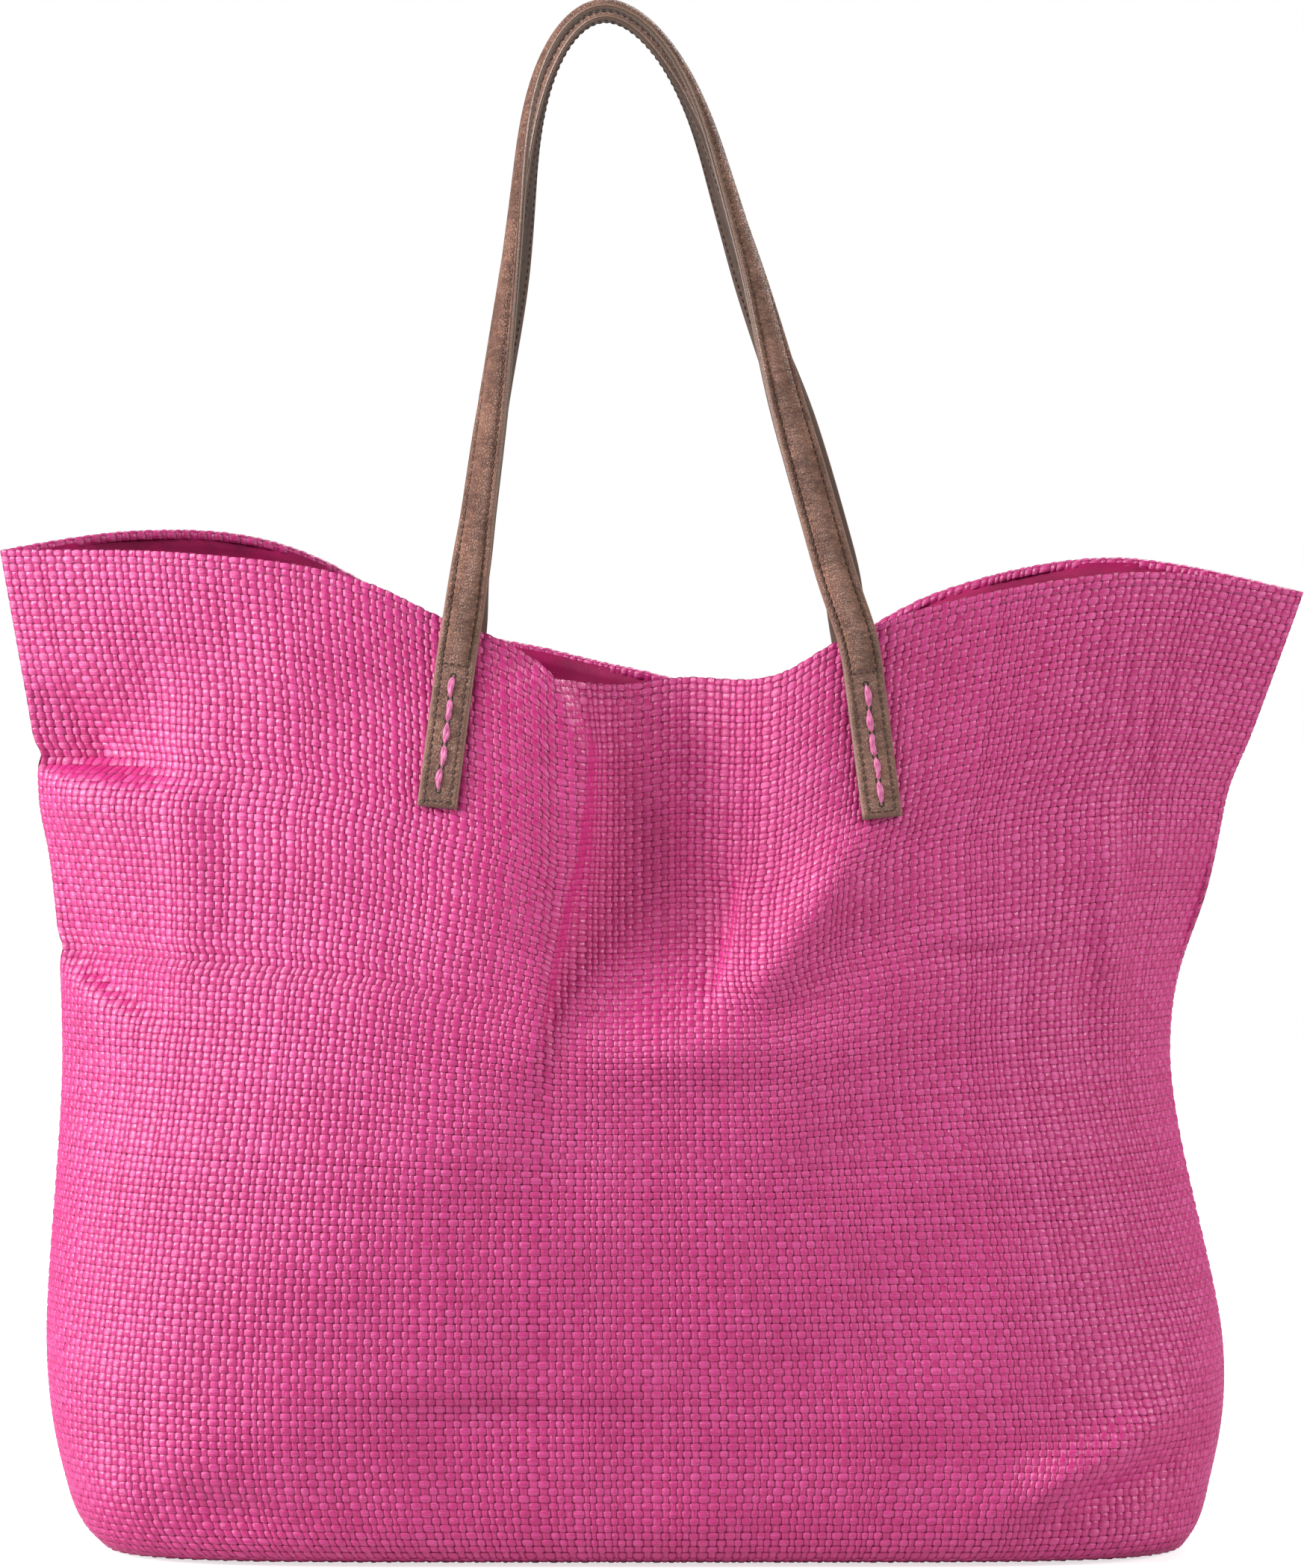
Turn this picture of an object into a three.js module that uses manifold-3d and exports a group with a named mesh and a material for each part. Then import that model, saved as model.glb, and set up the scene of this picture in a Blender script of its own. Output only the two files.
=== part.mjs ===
// A large woven straw beach tote. Two straw panels are sewn into a bag with a boxed base, a cloth lining
// hangs inside, and two padded leather handles are laced to the panels by their flat ends.
// Millimetres, +Z up, +X to the right and +Y to the back. The origin is on the floor, under the middle.
import * as THREE from 'three';
import { mergeVertices } from 'three/addons/utils/BufferGeometryUtils.js';
import Module from 'manifold-3d';

const manifold = await Module();
manifold.setup();

// Driving dimensions --------------------------------------------------------------------------------

const gap = 0.3; // between pieces that touch
const clothSlack = 0.7; // between the straw and what lies flat on it

// The bag's outline, seen from the front
const sideHeight = 430; // the rim at the left seam
const mouthHalfWidth = 281;
const waistHalfWidth = { left: 255, right: 224 }; // the right side is pinched in further
const bulgeHalfWidth = { left: 262, right: 247 };
const baseHalfWidth = { left: 236, right: 229 };
const shoulderHeight = 313;
const shoulderHalfWidth = { left: 262, right: 244 };
const waistHeight = 214;
const bulgeHeight = 87;
const bottomEdgeHeight = 24; // where the rounded bottom edge has become wall

// The bag's depth, from the middle to one panel, and its section, which is boxed at the base
const mouthHalfDepth = 62;
const bellyHalfDepth = 88;
const baseHalfDepth = 62;
const bellyHeight = 195;
const boxedPower = 6;
const openPower = 2;
const boxedRoundness = 0.3;

// The rim sags between the handles, and the middle of each panel folds in
const rimSag = 54;
const rightCornerSag = 18;
const sagStart = 0.3; // the share of the height below which the rows stay level
const foldDepth = { front: 38, back: 22 };
const foldHalfWidth = 38;
const foldCentre = 5;
const foldBottom = 218;

// Cloth
const strawThickness = 1.5;
const patchThickness = 0.8;
const liningThickness = 0.7;
const hemDepth = 8;
const hemThickness = 1.2;
const seamAllowance = 6;
const seamThickness = 1.2;
const rimTurn = 2; // how far the lining and hem stop below the panel's edge
const crowding = 0.35; // how strongly the panel's columns crowd towards the seams
const seamReach = 11; // the higher, the closer to the seams a layer's side inset stays

// Handles
const tabSpacing = 170; // between the left and the right tab's hinge lines, centre to centre
const tabShift = 3; // the pair sits a little right of the middle
const sagAtTabs = 0.65; // the share of the rim's sag that it has where the tabs hang
const hingeBelowRim = 7;
const hingeHeight = sideHeight - sagAtTabs * rimSag - hingeBelowRim;
const tabLength = 67;
const tabLean = 7.3; // degrees, each tab's top towards the middle
const strapWidth = 17;
const tabThickness = 2.7;
const padThickness = 2.3; // how far the padding raises the outer strip
const backingThickness = 1.2;
const coreWidth = 0.62 * strapWidth;
const coreGap = gap * (strapWidth / 17); // a wider strip twists its core more
const handleRise = 273.4; // from the hinge line to the top of the arch
const archHalfWidth = 28; // the legs would be this far apart where they would meet at the top
const archShare = 0.72; // the legs run straight up to this share of the rise
const archShift = -20; // the top leans to the left
const archGap = 12; // from the bag's middle plane to each handle at the top
const twistStart = 0.02;
const twistEnd = 0.85;
const footRise = 0.06; // up to this share of the rise, the strip's ends are cut level

// Lacing
const laceHoles = 6;
const laceFirst = 12; // from the hinge line to the first hole
const laceLast = tabLength - 6;
const laceWidth = 2;
const laceHeight = 1.2;
const laceLegWidth = 1.4;
const laceHoleRadius = 1.5;
const patchMargin = 2; // around the tab
const patchStart = 4; // below the hinge line

const FRONT = -1;
const BACK = 1;
const LEFT = -1;
const RIGHT = 1;

// Colours -------------------------------------------------------------------------------------------

function finish(colour, roughness) {
  return new THREE.MeshStandardMaterial({ color: colour, roughness: roughness, metalness: 0 });
}
const straw = finish(0xd2569b, 0.55);
const lining = finish(0xa80f5c, 0.7);
const leather = finish(0x8f6c5c, 0.5);
const backingLeather = finish(0x7a5a4b, 0.55);
const padding = finish(0xd8d2c6, 0.95);
const patchCloth = finish(0xb8a58f, 0.9);
const lace = finish(0xdd5fa4, 0.55);

// Helpers -------------------------------------------------------------------------------------------

const { lerp, clamp, smoothstep, degToRad } = THREE.MathUtils;

// A smooth curve through a few chosen points, read as a height over a position.
function smoothThrough(points) {
  const curve = new THREE.SplineCurve(points.map(([at, value]) => new THREE.Vector2(at, value)));
  const samples = curve.getPoints(40 * points.length);
  return (at) => {
    const next = samples.findIndex((sample, i) => i > 0 && sample.x >= at);
    const b = next < 0 ? samples.length - 1 : next;
    const [low, high] = [samples[b - 1], samples[b]];
    return lerp(low.y, high.y, clamp((at - low.x) / (high.x - low.x), 0, 1));
  };
}

// A thin box bent into place: place(a, b, c) gives the point for shares a, b and c of the box's width,
// height and thickness. Its far face is cut along the same diagonals as the near one, so both bend alike.
function bentSlab(columns, rows, place) {
  const slab = new THREE.BoxGeometry(1, 1, 1, columns, rows, 1);
  const corners = slab.index.array;
  const far = slab.groups[5];
  for (let i = far.start; i < far.start + far.count; i += 6) {
    const [a, b, d, , c] = corners.slice(i, i + 6);
    corners.set([a, b, c, a, c, d], i);
  }
  slab.deleteAttribute('normal');
  slab.deleteAttribute('uv');
  const geometry = mergeVertices(slab, 1e-4);
  const at = geometry.attributes.position;
  for (let i = 0; i < at.count; i++) {
    const p = place(at.getX(i) + 0.5, at.getY(i) + 0.5, at.getZ(i) + 0.5);
    at.setXYZ(i, p.x, p.y, p.z);
  }
  return geometry;
}

function toManifold(geometry) {
  const bare = geometry.clone();
  bare.deleteAttribute('normal');
  bare.deleteAttribute('uv');
  const merged = mergeVertices(bare, 1e-4);
  return new manifold.Manifold(new manifold.Mesh({
    numProp: 3,
    vertProperties: new Float32Array(merged.attributes.position.array),
    triVerts: new Uint32Array(merged.index.array),
  }));
}

function fromManifold(solid) {
  const mesh = solid.getMesh();
  const geometry = new THREE.BufferGeometry();
  geometry.setAttribute('position', new THREE.BufferAttribute(mesh.vertProperties, 3));
  geometry.setIndex(new THREE.BufferAttribute(mesh.triVerts, 1));
  return geometry;
}

const bag = new THREE.Group();
bag.name = 'beach_tote';

function add(name, geometry, material) {
  geometry.computeVertexNormals();
  const mesh = new THREE.Mesh(geometry, material);
  mesh.name = name;
  bag.add(mesh);
}

// The bag's shape -----------------------------------------------------------------------------------

const halfWidth = {};
for (const side of ['left', 'right']) {
  halfWidth[side] = smoothThrough([
    [0, baseHalfWidth[side]],
    [bottomEdgeHeight, lerp(baseHalfWidth[side], bulgeHalfWidth[side], 0.6)],
    [bulgeHeight, bulgeHalfWidth[side]],
    [waistHeight, waistHalfWidth[side]],
    [shoulderHeight, shoulderHalfWidth[side]],
    [sideHeight, mouthHalfWidth],
  ]);
}

const halfDepth = smoothThrough([
  [0, baseHalfDepth],
  [bottomEdgeHeight, lerp(baseHalfDepth, bellyHalfDepth, 0.55)],
  [bellyHeight, bellyHalfDepth],
  [shoulderHeight, lerp(bellyHalfDepth, mouthHalfDepth, 0.4)],
  [sideHeight, mouthHalfDepth],
]);

// How far the rim lies below its height at the left seam, over the share of the mouth's half width.
const rimDrop = {
  [FRONT]: smoothThrough([
    [-1, 0],
    [-0.7, -1],
    [-0.43, -0.24 * rimSag],
    [-0.14, -rimSag],
    [0.17, -rimSag],
    [0.4, -0.46 * rimSag],
    [0.73, -0.17 * rimSag],
    [1, -rightCornerSag],
  ]),
  [BACK]: smoothThrough([
    [-1, 0],
    [-0.8, 8],
    [-0.6, 4],
    [-0.35, -0.4 * rimSag],
    [-0.1, -0.93 * rimSag],
    [0.15, -rimSag],
    [0.45, -0.34 * rimSag],
    [0.72, -0.07 * rimSag],
    [1, -rightCornerSag],
  ]),
};

// A panel's depth over a share of its half width: boxed at the base, and pointed at the seams of the rim.
function section(share, height) {
  const open = smoothstep(height, 0, sideHeight);
  const power = lerp(boxedPower, openPower, Math.sqrt(open));
  const roundness = lerp(boxedRoundness, 1, Math.sqrt(open));
  return Math.max(0, 1 - Math.abs(share) ** power) ** roundness;
}

// The fold in the middle of a panel, which fades towards its bottom end.
function fold(face, x, height) {
  const depth = face === FRONT ? foldDepth.front : foldDepth.back;
  const across = Math.exp(-(((x - foldCentre) / foldHalfWidth) ** 2));
  return depth * across * smoothstep(height, foldBottom, sideHeight - rimSag);
}

// How far a panel's outer face lies from the bag's middle plane, at a place on it.
function panelDepth(face, x, height) {
  const width = x < 0 ? halfWidth.left(height) : halfWidth.right(height);
  const share = clamp(x / width, -1, 1);
  return (halfDepth(height) - fold(face, x, height)) * section(share, height);
}

// A point on a panel. across runs from -1 at the left seam to 1 at the right one, and up from 0 at the
// bottom edge to 1 at the rim. inset is the depth below the outer face, and sideInset the same at the seams.
function wallPoint(face, across, up, inset, sideInset) {
  const level = up * sideHeight;
  const spread = lerp(across, Math.sin((across * Math.PI) / 2), crowding);
  const width = across < 0 ? halfWidth.left(level) : halfWidth.right(level);
  const x = spread * (width - sideInset * Math.abs(spread) ** seamReach);
  const y = Math.max(panelDepth(face, x, level) - inset, 0) + gap / 2;
  const drop = rimDrop[face](x / mouthHalfWidth) * smoothstep(up, sagStart, 1);
  return new THREE.Vector3(x, face * y, level + drop + inset * (1 - up));
}

// A point on the half of the base that belongs to a panel: inward runs from 0 at the bottom edge to 1 at
// the middle seam.
const baseSeamInset = 20; // the middle seam stops this far short of each end
function basePoint(face, across, inward, inset, sideInset) {
  const edge = wallPoint(face, across, 0, inset, sideInset);
  const width = across < 0 ? baseHalfWidth.left : baseHalfWidth.right;
  const short = 1 - (baseSeamInset / width) * inward;
  return new THREE.Vector3(edge.x * short, lerp(edge.y, (face * gap) / 2, inward), inset);
}

// A closed sheet over the base half and the wall of one panel, up to a share of its height. inset and
// sideInset are functions of the share of its thickness.
const facetSize = { across: 20, up: 33 }; // how wide and how high one facet of the cloth is
const columns = 2 * Math.round(mouthHalfWidth / facetSize.across);
const baseRows = 2;
const wallRows = Math.round(sideHeight / facetSize.up);
function clothSheet(face, inset, sideInset, top) {
  const rows = baseRows + wallRows;
  return bentSlab(columns, rows, (a, b, c) => {
    const across = face === FRONT ? lerp(-1, 1, a) : lerp(1, -1, a);
    const row = b * rows - baseRows;
    if (row < 0) {
      return basePoint(face, across, -row / baseRows, inset(c), sideInset(c));
    }
    return wallPoint(face, across, (row / wallRows) * top, inset(c), sideInset(c));
  });
}

// Panels, hems, seams and lining --------------------------------------------------------------------

const strawSideThickness = 2.5 * strawThickness; // where the panel is seen almost edge-on
const patchInset = strawThickness + clothSlack;
const laceInset = patchInset + patchThickness + gap;
const laceBackHeight = 0.9;
const liningInset = laceInset + laceBackHeight + gap;
const flare = (mouthHalfWidth - shoulderHalfWidth.right) / (sideHeight - shoulderHeight);
const seamInset = strawSideThickness + 1.75 * (flare / (37 / 117)); // a steeper flare needs more room
const seamSlack = 1.5;
const liningSideInset = seamInset + seamAllowance + seamSlack;
const hemSideInset = liningSideInset + 3;
const hemInset = liningInset + liningThickness + gap;
const topShare = 1 - rimTurn / sideHeight;
const hemRows = 1;

const tabHoles = { [FRONT]: [], [BACK]: [] };

function hem(face) {
  return bentSlab(columns, hemRows, (a, b, c) => {
    const across = face === FRONT ? lerp(-1, 1, a) : lerp(1, -1, a);
    const up = 1 - (rimTurn + hemDepth * (1 - b)) / sideHeight;
    return wallPoint(face, across, up, hemInset + (1 - c) * hemThickness, hemSideInset);
  });
}

function seamStrip(side) {
  const sign = side === 'left' ? -1 : 1;
  const bottom = bottomEdgeHeight / sideHeight;
  const top = 1 - 2 * rimTurn / sideHeight;
  const drop = sign === RIGHT ? rightCornerSag : 0;
  return bentSlab(1, wallRows, (a, b, c) => {
    const up = lerp(bottom, top, b);
    const level = up * sideHeight;
    const outer = halfWidth[side](level) - seamInset;
    const x = sign * (outer - seamAllowance * (sign === LEFT ? a : 1 - a));
    const y = (0.5 - c) * seamThickness * (0.4 + 0.6 * (sign === LEFT ? a : 1 - a));
    return new THREE.Vector3(x, y, level - drop * smoothstep(up, sagStart, 1));
  });
}

function bottomSeam() {
  const inset = strawThickness + gap;
  const left = -baseHalfWidth.left + baseSeamInset * 2;
  const right = baseHalfWidth.right - baseSeamInset * 2;
  const strip = new THREE.BoxGeometry(right - left, 2 * seamAllowance, seamThickness, 6, 2, 1);
  strip.translate((left + right) / 2, 0, inset + seamThickness / 2);
  return strip;
}

// Handles -------------------------------------------------------------------------------------------

const leanSlope = Math.tan(degToRad(tabLean));
const hingeX = { [LEFT]: tabShift - tabSpacing / 2, [RIGHT]: tabShift + tabSpacing / 2 };

// The outer face of the panel where a tab crosses it, so that tabs, patches and lacing follow the cloth.
function tabPoint(face, side, across, down, out) {
  const x = hingeX[side] + side * down * leanSlope + across;
  const z = hingeHeight - down;
  const up = clothUp(face, x, z);
  return new THREE.Vector3(x, face * (panelDepth(face, x, up * sideHeight) + gap / 2 + out), z);
}

// The share of the height that a place on the sagging wall comes from.
function clothUp(face, x, z) {
  let up = z / sideHeight;
  for (let i = 0; i < 8; i++) {
    const drop = rimDrop[face](x / mouthHalfWidth) * smoothstep(up, sagStart, 1);
    up = (z - drop) / sideHeight;
  }
  return up;
}

const tabRows = 6;
function tabSlab(face, side, width, length, start, inner, outer, reach) {
  return bentSlab(2, tabRows, (a, b, c) => {
    const across = (face === FRONT ? lerp(-1, 1, a) : lerp(1, -1, a)) * (width / 2);
    return tabPoint(face, side, across, start + length * (1 - b), lerp(inner, outer, c) + reach);
  });
}

const holeSpacing = (laceLast - laceFirst) / (laceHoles - 1);
const holeDepths = Array.from({ length: laceHoles }, (_, i) => laceFirst + i * holeSpacing);

const drillReach = 8;

// One bar through everything that a tab's lace passes, square to the bag's middle plane.
function holeDrill(face, side, down, radius, inner, outer) {
  const centre = tabPoint(face, side, 0, down, 0);
  const drill = new THREE.CylinderGeometry(radius, radius, outer - inner, 6);
  drill.translate(centre.x, centre.y + (face * (outer + inner)) / 2, centre.z);
  return toManifold(drill);
}

function drilled(geometry, face, sides) {
  let solid = toManifold(geometry);
  for (const side of sides) {
    for (const down of holeDepths) {
      solid = solid.subtract(holeDrill(face, side, down, laceHoleRadius, -drillReach, drillReach));
    }
  }
  return fromManifold(solid);
}

// The lace: a leg through each hole, joined by a run of stitches outside, each raised between its two
// holes, and by a flat run inside.
function lacing(face, side) {
  const front = clothSlack + tabThickness + gap;
  const run = (rows, inner, outer) => bentSlab(1, rows, (a, b, c) => {
    const across = (face === FRONT ? 1 : -1) * (a - 0.5) * laceWidth;
    const down = lerp(laceLast + laceWidth / 2, laceFirst - laceWidth / 2, b);
    return tabPoint(face, side, across, down, lerp(inner, outer(b * rows), c));
  });
  const raised = (row) => front + laceHeight * (Math.round(row) % 2 ? 1 : 0.5);
  let solid = toManifold(run(2 * (laceHoles - 1), front, raised));
  const flat = toManifold(run(laceHoles - 1, -laceInset - laceBackHeight, () => -laceInset));
  for (const down of holeDepths) {
    const inner = -laceInset - laceBackHeight / 2;
    const outer = front + laceHeight / 4;
    const centre = tabPoint(face, side, 0, down, (inner + outer) / 2);
    const leg = new THREE.BoxGeometry(laceLegWidth, outer - inner, laceLegWidth);
    solid = solid.add(toManifold(leg.translate(centre.x, centre.y, centre.z)));
  }
  return fromManifold(solid.add(flat));
}

// The middle line of a handle's loop, with its width direction, for a share -1 to 1 from the left
// hinge over the arch to the right one.
function loopFrame(face, along) {
  const rise = 1 - along * along;
  const taper = lerp(tabSpacing / 2, archHalfWidth, rise);
  const capShare = clamp((rise - archShare) / (1 - archShare), 0, 1);
  const sway = tabShift + (archShift - tabShift) * rise ** 1.25;
  const x = sway + Math.sign(along) * taper * Math.sqrt(1 - capShare * capShare);
  const foot = Math.abs(hingeDepth[face]);
  const y = face * lerp(foot, archGap, smoothstep(rise, 0, 1.15));
  return new THREE.Vector3(x, y, hingeHeight + gap + rise * (handleRise - gap));
}

// The hinge line lies just proud of the padded strip, so that the strip folds down over its tab.
const hingeDepth = {};
for (const face of [FRONT, BACK]) {
  const footing = (side) => Math.max(...[0, 0.5, 1].map(
    (share) => Math.abs(tabPoint(face, side, 0, -share * hingeBelowRim, 0).y),
  ));
  hingeDepth[face] = face * (Math.max(footing(LEFT), footing(RIGHT)) + clothSlack + tabThickness / 2);
}

// One layer of a loop: a slab that follows the loop. The strip faces outward at the tabs and turns
// edge-on to face up over the arch.
const loopSegments = 36;
function loopLayer(face, width, acrossCells, lower, upper) {
  const step = 1e-3;
  return bentSlab(acrossCells, loopSegments, (a, b, c) => {
    const even = lerp(-1, 1, b);
    const along = lerp(even, Math.sin((even * Math.PI) / 2), 0.5);
    const centre = loopFrame(face, along);
    const ahead = loopFrame(face, clamp(along + step, -1, 1));
    const behind = loopFrame(face, clamp(along - step, -1, 1));
    const tangent = ahead.sub(behind).normalize();
    const radial = new THREE.Vector3(-tangent.z, 0, tangent.x).normalize();
    const rise = 1 - along * along;
    const turn = smoothstep(Math.sqrt(rise), twistStart, twistEnd) * (Math.PI / 2);
    const outward = new THREE.Vector3(0, face, 0);
    const normal = outward.multiplyScalar(Math.cos(turn)).addScaledVector(radial, Math.sin(turn));
    normal.addScaledVector(tangent, -normal.dot(tangent) * smoothstep(rise, 0, footRise)).normalize();
    const square = new THREE.Vector3().crossVectors(tangent, normal);
    const level = new THREE.Vector3(face * Math.sign(along), 0, 0);
    const side = level.lerp(square, smoothstep(rise, 0, footRise)).normalize();
    const share = lerp(-1, 1, a);
    const lift = lerp(lower(share), upper(share), c);
    return centre.addScaledVector(side, share * width / 2).addScaledVector(normal, lift);
  });
}

const puff = (share) => padThickness * Math.max(0, 1 - (share * 1.15) ** 2) ** 0.8;
const backFace = -tabThickness / 2;
const stripFoot = backFace + backingThickness + gap;
const stripThickness = tabThickness - backingThickness - gap;

function outerStrip(face) {
  return loopLayer(
    face, strapWidth, 6,
    (share) => stripFoot + puff(share),
    (share) => stripFoot + stripThickness + puff(share),
  );
}

function backing(face) {
  return loopLayer(face, strapWidth, 2, () => backFace, () => backFace + backingThickness);
}

function core(face) {
  const shrink = coreWidth / strapWidth;
  return loopLayer(
    face, coreWidth, 2,
    () => stripFoot + coreGap,
    (share) => stripFoot + Math.max(puff(share * shrink) - gap, 2 * gap),
  );
}

// The bag put together ------------------------------------------------------------------------------

const faces = { front: FRONT, back: BACK };
const tabSides = { left: LEFT, right: RIGHT };

for (const [faceName, face] of Object.entries(faces)) {
  const panel = clothSheet(
    face, (c) => (1 - c) * strawThickness, (c) => (1 - c) * strawSideThickness, 1,
  );
  add(`${faceName}_panel`, drilled(panel, face, [LEFT, RIGHT]), straw);
  add(`${faceName}_hem`, hem(face), straw);
  const liningSheet = clothSheet(
    face, (c) => liningInset + (1 - c) * liningThickness, () => liningSideInset, topShare,
  );
  add(`${faceName}_lining`, liningSheet, lining);

  for (const [sideName, side] of Object.entries(tabSides)) {
    const name = `${faceName}_${sideName}`;
    const tab = tabSlab(face, side, strapWidth, tabLength - gap, gap, 0, tabThickness, clothSlack);
    add(`${name}_tab`, drilled(tab, face, [side]), leather);
    const patch = tabSlab(
      face, side, strapWidth + 2 * patchMargin, tabLength, patchStart,
      -patchInset - patchThickness, -patchInset, 0,
    );
    add(`${name}_patch`, drilled(patch, face, [side]), patchCloth);
    add(`${name}_lacing`, lacing(face, side), lace);
  }

  add(`${faceName}_handle`, outerStrip(face), leather);
  add(`${faceName}_handle_backing`, backing(face), backingLeather);
  add(`${faceName}_handle_core`, core(face), padding);
}
add('left_side_seam', seamStrip('left'), straw);
add('right_side_seam', seamStrip('right'), straw);
add('bottom_seam', bottomSeam(), straw);

export default bag;
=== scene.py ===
# %% [markdown]
# # A woven straw beach tote
# The bag is a soft shell of plain-woven paper straw with a cloth lining and two padded leather handles.
# Its imported CAD model is loaded first and its parts are laid out in world space. The visible pieces are
# then built around it, in millimetres, and turned into metres when they become meshes, because a bag
# maker thinks in millimetres.

# %% Load the frame
import math
import bpy
import numpy as np
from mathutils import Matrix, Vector


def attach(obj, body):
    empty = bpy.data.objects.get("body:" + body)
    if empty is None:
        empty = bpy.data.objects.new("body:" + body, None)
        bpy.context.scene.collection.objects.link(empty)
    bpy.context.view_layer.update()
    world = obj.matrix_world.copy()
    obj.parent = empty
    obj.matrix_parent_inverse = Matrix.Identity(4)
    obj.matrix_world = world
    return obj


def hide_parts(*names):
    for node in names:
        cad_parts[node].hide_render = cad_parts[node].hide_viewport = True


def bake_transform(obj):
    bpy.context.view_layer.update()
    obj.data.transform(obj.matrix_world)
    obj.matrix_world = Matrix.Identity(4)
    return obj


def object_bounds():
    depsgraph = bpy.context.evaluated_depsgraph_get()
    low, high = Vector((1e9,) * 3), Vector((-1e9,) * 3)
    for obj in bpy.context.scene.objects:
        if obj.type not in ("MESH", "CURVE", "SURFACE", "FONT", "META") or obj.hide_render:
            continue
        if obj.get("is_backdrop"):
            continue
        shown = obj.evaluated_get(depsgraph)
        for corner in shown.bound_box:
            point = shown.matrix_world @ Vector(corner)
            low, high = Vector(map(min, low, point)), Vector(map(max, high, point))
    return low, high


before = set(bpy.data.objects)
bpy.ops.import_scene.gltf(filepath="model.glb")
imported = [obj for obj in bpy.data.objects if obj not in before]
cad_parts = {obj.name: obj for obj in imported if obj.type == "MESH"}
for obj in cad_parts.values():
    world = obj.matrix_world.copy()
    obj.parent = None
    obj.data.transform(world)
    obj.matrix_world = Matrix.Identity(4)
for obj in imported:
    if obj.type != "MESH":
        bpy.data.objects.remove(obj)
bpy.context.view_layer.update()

# %% [markdown]
# ## Camera
# The bag is seen straight from the front and from slightly above. A long lens far away keeps the mouth and
# the base in proportion, as a product photographer would, and the view is as wide as the mouth.

# %% Camera
distance = 2.6
look_at = Vector((0, 0, 0.3285))
tilt = math.radians(3)
view_width = 0.5633

lens = bpy.data.cameras.new("camera")
lens.sensor_fit = "HORIZONTAL"
lens.sensor_width = 36
lens.lens = 36 * distance / view_width
camera = bpy.data.objects.new("camera", lens)
camera.location = look_at + Vector((0, -distance * math.cos(tilt), distance * math.sin(tilt)))
camera.rotation_euler = (math.radians(90) - tilt, 0, 0)
bpy.context.scene.collection.objects.link(camera)
bpy.context.scene.camera = camera
print("lens", round(lens.lens, 1), "mm")

# %% [markdown]
# ## Small tools
# Straw, leather and thread are all made from arrays of points and faces. One helper turns such arrays into
# a smooth mesh with a UV map, and one joins many small parts into one mesh.

# %% Meshes from arrays
MM = 0.001
FULL_TURN = 2 * math.pi

def make_mesh(name, points, faces, uv=None, values=None):
    mesh = bpy.data.meshes.new(name)
    mesh.vertices.add(len(points))
    mesh.vertices.foreach_set("co", (np.asarray(points) * MM).astype(np.float32).ravel())
    faces = np.asarray(faces, np.int32)
    mesh.loops.add(faces.size)
    mesh.loops.foreach_set("vertex_index", faces.ravel())
    mesh.polygons.add(len(faces))
    mesh.polygons.foreach_set("loop_start", np.arange(0, faces.size, faces.shape[1], dtype=np.int32))
    mesh.polygons.foreach_set("use_smooth", np.ones(len(faces), bool))
    if uv is not None:
        layer = mesh.uv_layers.new(name="cloth")
        layer.uv.foreach_set("vector", np.asarray(uv)[faces.ravel()].astype(np.float32).ravel())
    for key, numbers in (values or {}).items():
        mesh.attributes.new(key, "FLOAT", "POINT").data.foreach_set("value", numbers.astype(np.float32))
    mesh.update(calc_edges=True)
    piece = bpy.data.objects.new(name, mesh)
    bpy.context.scene.collection.objects.link(piece)
    return piece

def bake_map(piece, uv):
    layer = piece.data.uv_layers.new(name="OFBake")
    corner = np.zeros(len(piece.data.loops), np.int32)
    piece.data.loops.foreach_get("vertex_index", corner)
    layer.uv.foreach_set("vector", np.asarray(uv)[corner].astype(np.float32).ravel())

def in_square(uv):
    """Shares of 0 to 1 drawn in a little from the square's edges, so that a baked picture has a margin."""
    return 0.01 + 0.98 * uv

def joined(parts):
    points, faces, start = [], [], 0
    for p, f in parts:
        points.append(p)
        faces.append(f + start)
        start += len(p)
    return np.concatenate(points), np.concatenate(faces)

def grid_faces(rows, columns, wrap=False):
    across = columns if wrap else columns - 1
    r, c = np.meshgrid(np.arange(rows - 1), np.arange(across), indexing="ij")
    a = r * columns + c
    b = r * columns + (c + 1) % columns
    return np.stack([a, b, b + columns, a + columns], -1).reshape(-1, 4)

def unit(v):
    return v / np.maximum(np.linalg.norm(v, axis=-1, keepdims=True), 1e-9)

def smoothstep(v, low, high):
    t = np.clip((v - low) / (high - low), 0, 1)
    return t * t * (3 - 2 * t)

def through(points):
    """A smooth curve through a few chosen points, read as a height over a position."""
    p = np.array(points, float)
    n, steps = len(p) - 1, 40 * len(p)
    t = np.linspace(0, n, steps + 1)
    i = np.minimum(t.astype(int), n - 1)
    u = (t - i)[:, None]
    p0, p1, p2, p3 = p[np.maximum(i - 1, 0)], p[i], p[i + 1], p[np.minimum(i + 2, n)]
    v0, v1 = (p2 - p0) / 2, (p3 - p1) / 2
    curve = (2 * p1 - 2 * p2 + v0 + v1) * u**3 + (3 * p2 - 3 * p1 - 2 * v0 - v1) * u**2 + v0 * u + p1
    return lambda at: np.interp(at, curve[:, 0], curve[:, 1])

print("tools ready")

# %% [markdown]
# ## The shape of the bag
# A soft bag has no flat sides: it is boxed at the base, swells to a belly, and closes to a pointed lens at
# the mouth, where the rim hangs down between the handles. The outline is a few measured half widths and
# half depths, joined by smooth curves, so every row of straw can be placed from its height alone. These
# are the values that the CAD panels were lofted from.

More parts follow.
